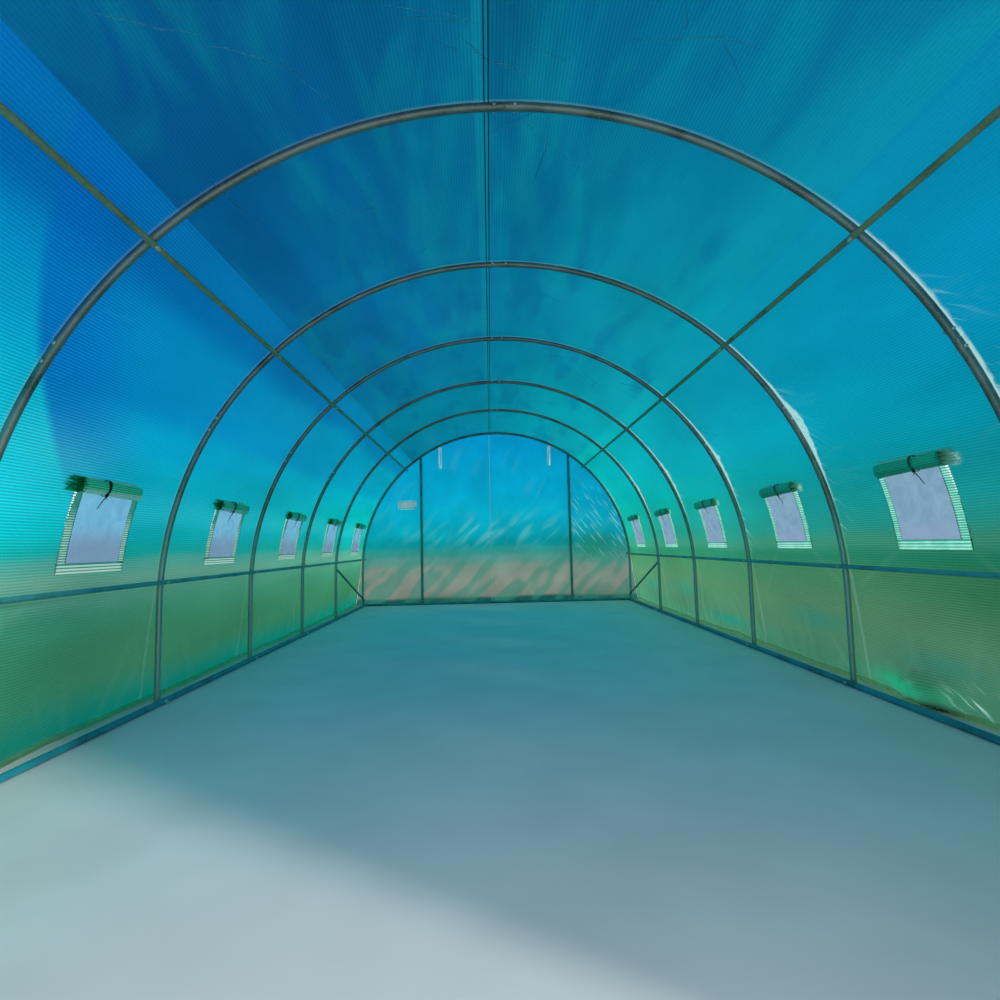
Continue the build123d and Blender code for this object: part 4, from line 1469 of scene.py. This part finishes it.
def zip_rows(name, x, y, foot, top, halves):
    """A zip up the edge of a door: two tapes, two rows of teeth and a pull."""
    tapes, teeth = Parts(), Parts()
    for half in halves:
        centre = upright(x + half * 0.009, y, np.linspace(foot, top, 40))
        strip_along(tapes, centre, (0.0085, 0, 0), (0, 0.0006, 0), 0.017)
        heights = np.arange(foot + 0.01, top - 0.01, tooth_pitch) + (tooth_pitch / 2 if half > 0 else 0)
        points = tooth[None] + upright(x + half * 0.0012, y, heights)[:, None]
        teeth.add(points, [[8 * k + i for i in quad] for k in range(len(heights)) for quad in tooth_faces])
    tapes.piece(f"{name}_zip_tape", strap_cloth, "strap")
    out = np.sign(y)
    pull = [(x, y, foot + 0.06), (x, y + out * 0.006, foot + 0.058), (x, y + out * 0.007, foot + 0.022)]
    tube(teeth, pull, [0.0045, 0.004, 0.0052], 8)
    teeth.piece(f"{name}_zip_teeth", bolt_steel, "strap")


outer_skin = 0.0042
for end_name, end in ends.items():
    for name, side in sides.items():
        edge = side * (doorway_half + zip_edge) / 2
        halves = (-1, 1) if end > 0 else (side,)
        top = float(wall_top(np.array([abs(edge)]))[0]) - 0.03
        zip_rows(f"{end_name}_{name}", edge, end * (rear_plane + outer_skin), 0.012, top, halves)

header_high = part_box("front_door_header")[1]
door_roll_low, door_roll_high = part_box("front_door_roll")
door_roll_radius = (door_roll_high.y - door_roll_low.y) / 2
door_ring = door_roll_high.z - leg_height - door_roll_radius
door_roll_place = (door_roll_low.y + door_roll_high.y) / 2
door_span = acos(door_roll_high.x / (door_ring + door_roll_radius))
header_span = acos(header_high.x / (sheet_radius - sheet_thickness))


def arch_point(radius, angle, y):
    """Points at a radius and an angle round the arch's middle."""
    x, z = radius * np.cos(angle), leg_height + radius * np.sin(angle)
    return np.stack([x, np.broadcast_to(y, x.shape), z], axis=-1)


def header_piece():
    """The strip of the front door sheet that stays up under the arch."""
    angle = np.linspace(header_span, pi - header_span, 150)
    t = np.linspace(0, 1, 9)
    angle, t = np.meshgrid(angle, t, indexing="ij")
    outer = sheet_radius - sheet_thickness
    radius = door_ring + 0.004 + (outer - door_ring - 0.004) * t
    ripple = 0.0022 * noise(angle * 1.5, radius, (0.09, 0.5), 150) * np.sin(pi * t)
    points = arch_point(radius, angle, -rear_plane + ripple)
    uv = np.stack([radius, angle * outer], axis=-1)
    piece = mesh_piece("front_door_header_sheet", points, grid_faces(*t.shape), wall_sheet, uv)
    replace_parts(piece, "front_door_header")


door_turns = 8
strap_place = 0.62  # of the front straps, from the middle


def door_roll_piece():
    """The front door sheet, rolled up and strapped under the arch."""
    turns = np.linspace(0, 2 * pi * door_turns, door_turns * 22)
    angle = np.linspace(door_span, pi - door_span, 96)
    turn, angle = np.meshgrid(turns, angle, indexing="ij")
    share = turn / turns[-1]
    cross = angle * door_ring
    fold = 0.0018 * noise(turn, cross, (0.5, 0.10), 160)
    fold += 0.0016 * noise(turn - 2 * cross, cross, (0.8, 0.5), 161)
    gaps = [door_ring * np.cos(angle) - place for place in (strap_place, -strap_place)]
    strap = sum(np.exp(-((gap / 0.035) ** 2)) for gap in gaps)
    radius = 0.010 + (door_roll_radius - 0.0125) * share + (fold - 0.0035 * strap) * share
    inset = 0.012 * noise(turn, turn, (1.3, 1), 162) * np.sign(angle - pi / 2)
    angle = angle - inset * smooth((np.abs(angle - pi / 2) - 0.75) / 0.1)
    out = radius * np.cos(turn + pi / 2)
    points = arch_point(door_ring + out, angle, door_roll_place - radius * np.sin(turn + pi / 2))
    uv = np.stack([turn * 0.03, cross], axis=-1)
    piece = mesh_piece("front_door_rolled_sheet", points, grid_faces(*turn.shape), wall_sheet, uv)
    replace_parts(piece, "front_door_roll")


header_piece()
door_roll_piece()


def hanging_strap(parts, centre, twist):
    """A strap down a centre line, turned about its length by a twist at each station."""
    wide = np.stack([np.cos(twist), -np.sin(twist), 0 * twist], axis=-1) * strap_half
    thick = np.stack([np.sin(twist), np.cos(twist), 0 * twist], axis=-1) * strap_thick
    strip_along(parts, centre, wide, thick, 2 * strap_half)


straps = Parts()
for place in (strap_place, -strap_place):
    angle = acos(place / door_ring)
    turn = np.linspace(0, 2 * pi, 33)
    radius = door_roll_radius + 0.0006
    centre = arch_point(door_ring + radius * np.cos(turn), angle, door_roll_place + radius * np.sin(turn))
    across = np.array([-sin(angle), 0, cos(angle)]) * strap_half
    normal = arch_point(np.cos(turn), angle, np.sin(turn)) - [0, 0, leg_height]
    strip_along(straps, centre, across, normal * strap_thick, 2 * strap_half)
    t = np.linspace(0, 1, 16)
    start = arch_point(door_ring - door_roll_radius - 0.001, angle, door_roll_place)
    tail = [0.006 * np.sin(3 * t), 0.010 * np.sin(4 * t) + 0.012 * t, -0.15 * t]
    hanging_strap(straps, start + np.stack(tail, axis=-1), -0.9 * t)
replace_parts(straps.piece("front_roll_straps", strap_cloth, "strap"), "front_door_straps")

hung = Parts()
for side in (-1, 1):
    t = np.linspace(0, 1, 26)
    x = side * hung_place + 0.010 * np.sin(5 * t + side) * t
    drop = strap_high.z - 0.004 - (strap_high.z - strap_low.z) * t
    centre = np.stack([x, strap_high.y - 0.004 - 0.016 * np.sin(pi * t), drop], axis=-1)
    hanging_strap(hung, centre, side * 1.1 * smooth((t - 0.25) / 0.6))
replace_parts(hung.piece("rear_hanging_straps", strap_cloth, "strap"), "rear_door_straps")

rear_trim = Parts()
heights = np.linspace(0.02, float(wall_top(np.array([seam_x]))[0]) - 0.01, 90)
seam_centre = on_wall("rear_door", np.full(90, seam_x), heights, -0.0022)
strip_along(rear_trim, seam_centre, (0.003, 0, 0), (0, 0.0005, 0), 0.006)
rear_trim.piece("rear_door_seam", thread_cloth, "seam_tape")

label = Parts()
rows = label_place[1] + np.linspace(-label_half[1], label_half[1], 6)
centre = upright(label_place[0], rear_plane - 0.006, rows)
strip_along(label, centre, (label_half[0], 0, 0), (0, 0.0005, 0), 2 * label_half[0])
label.piece("blank_patch", label_cloth, "seam_tape")
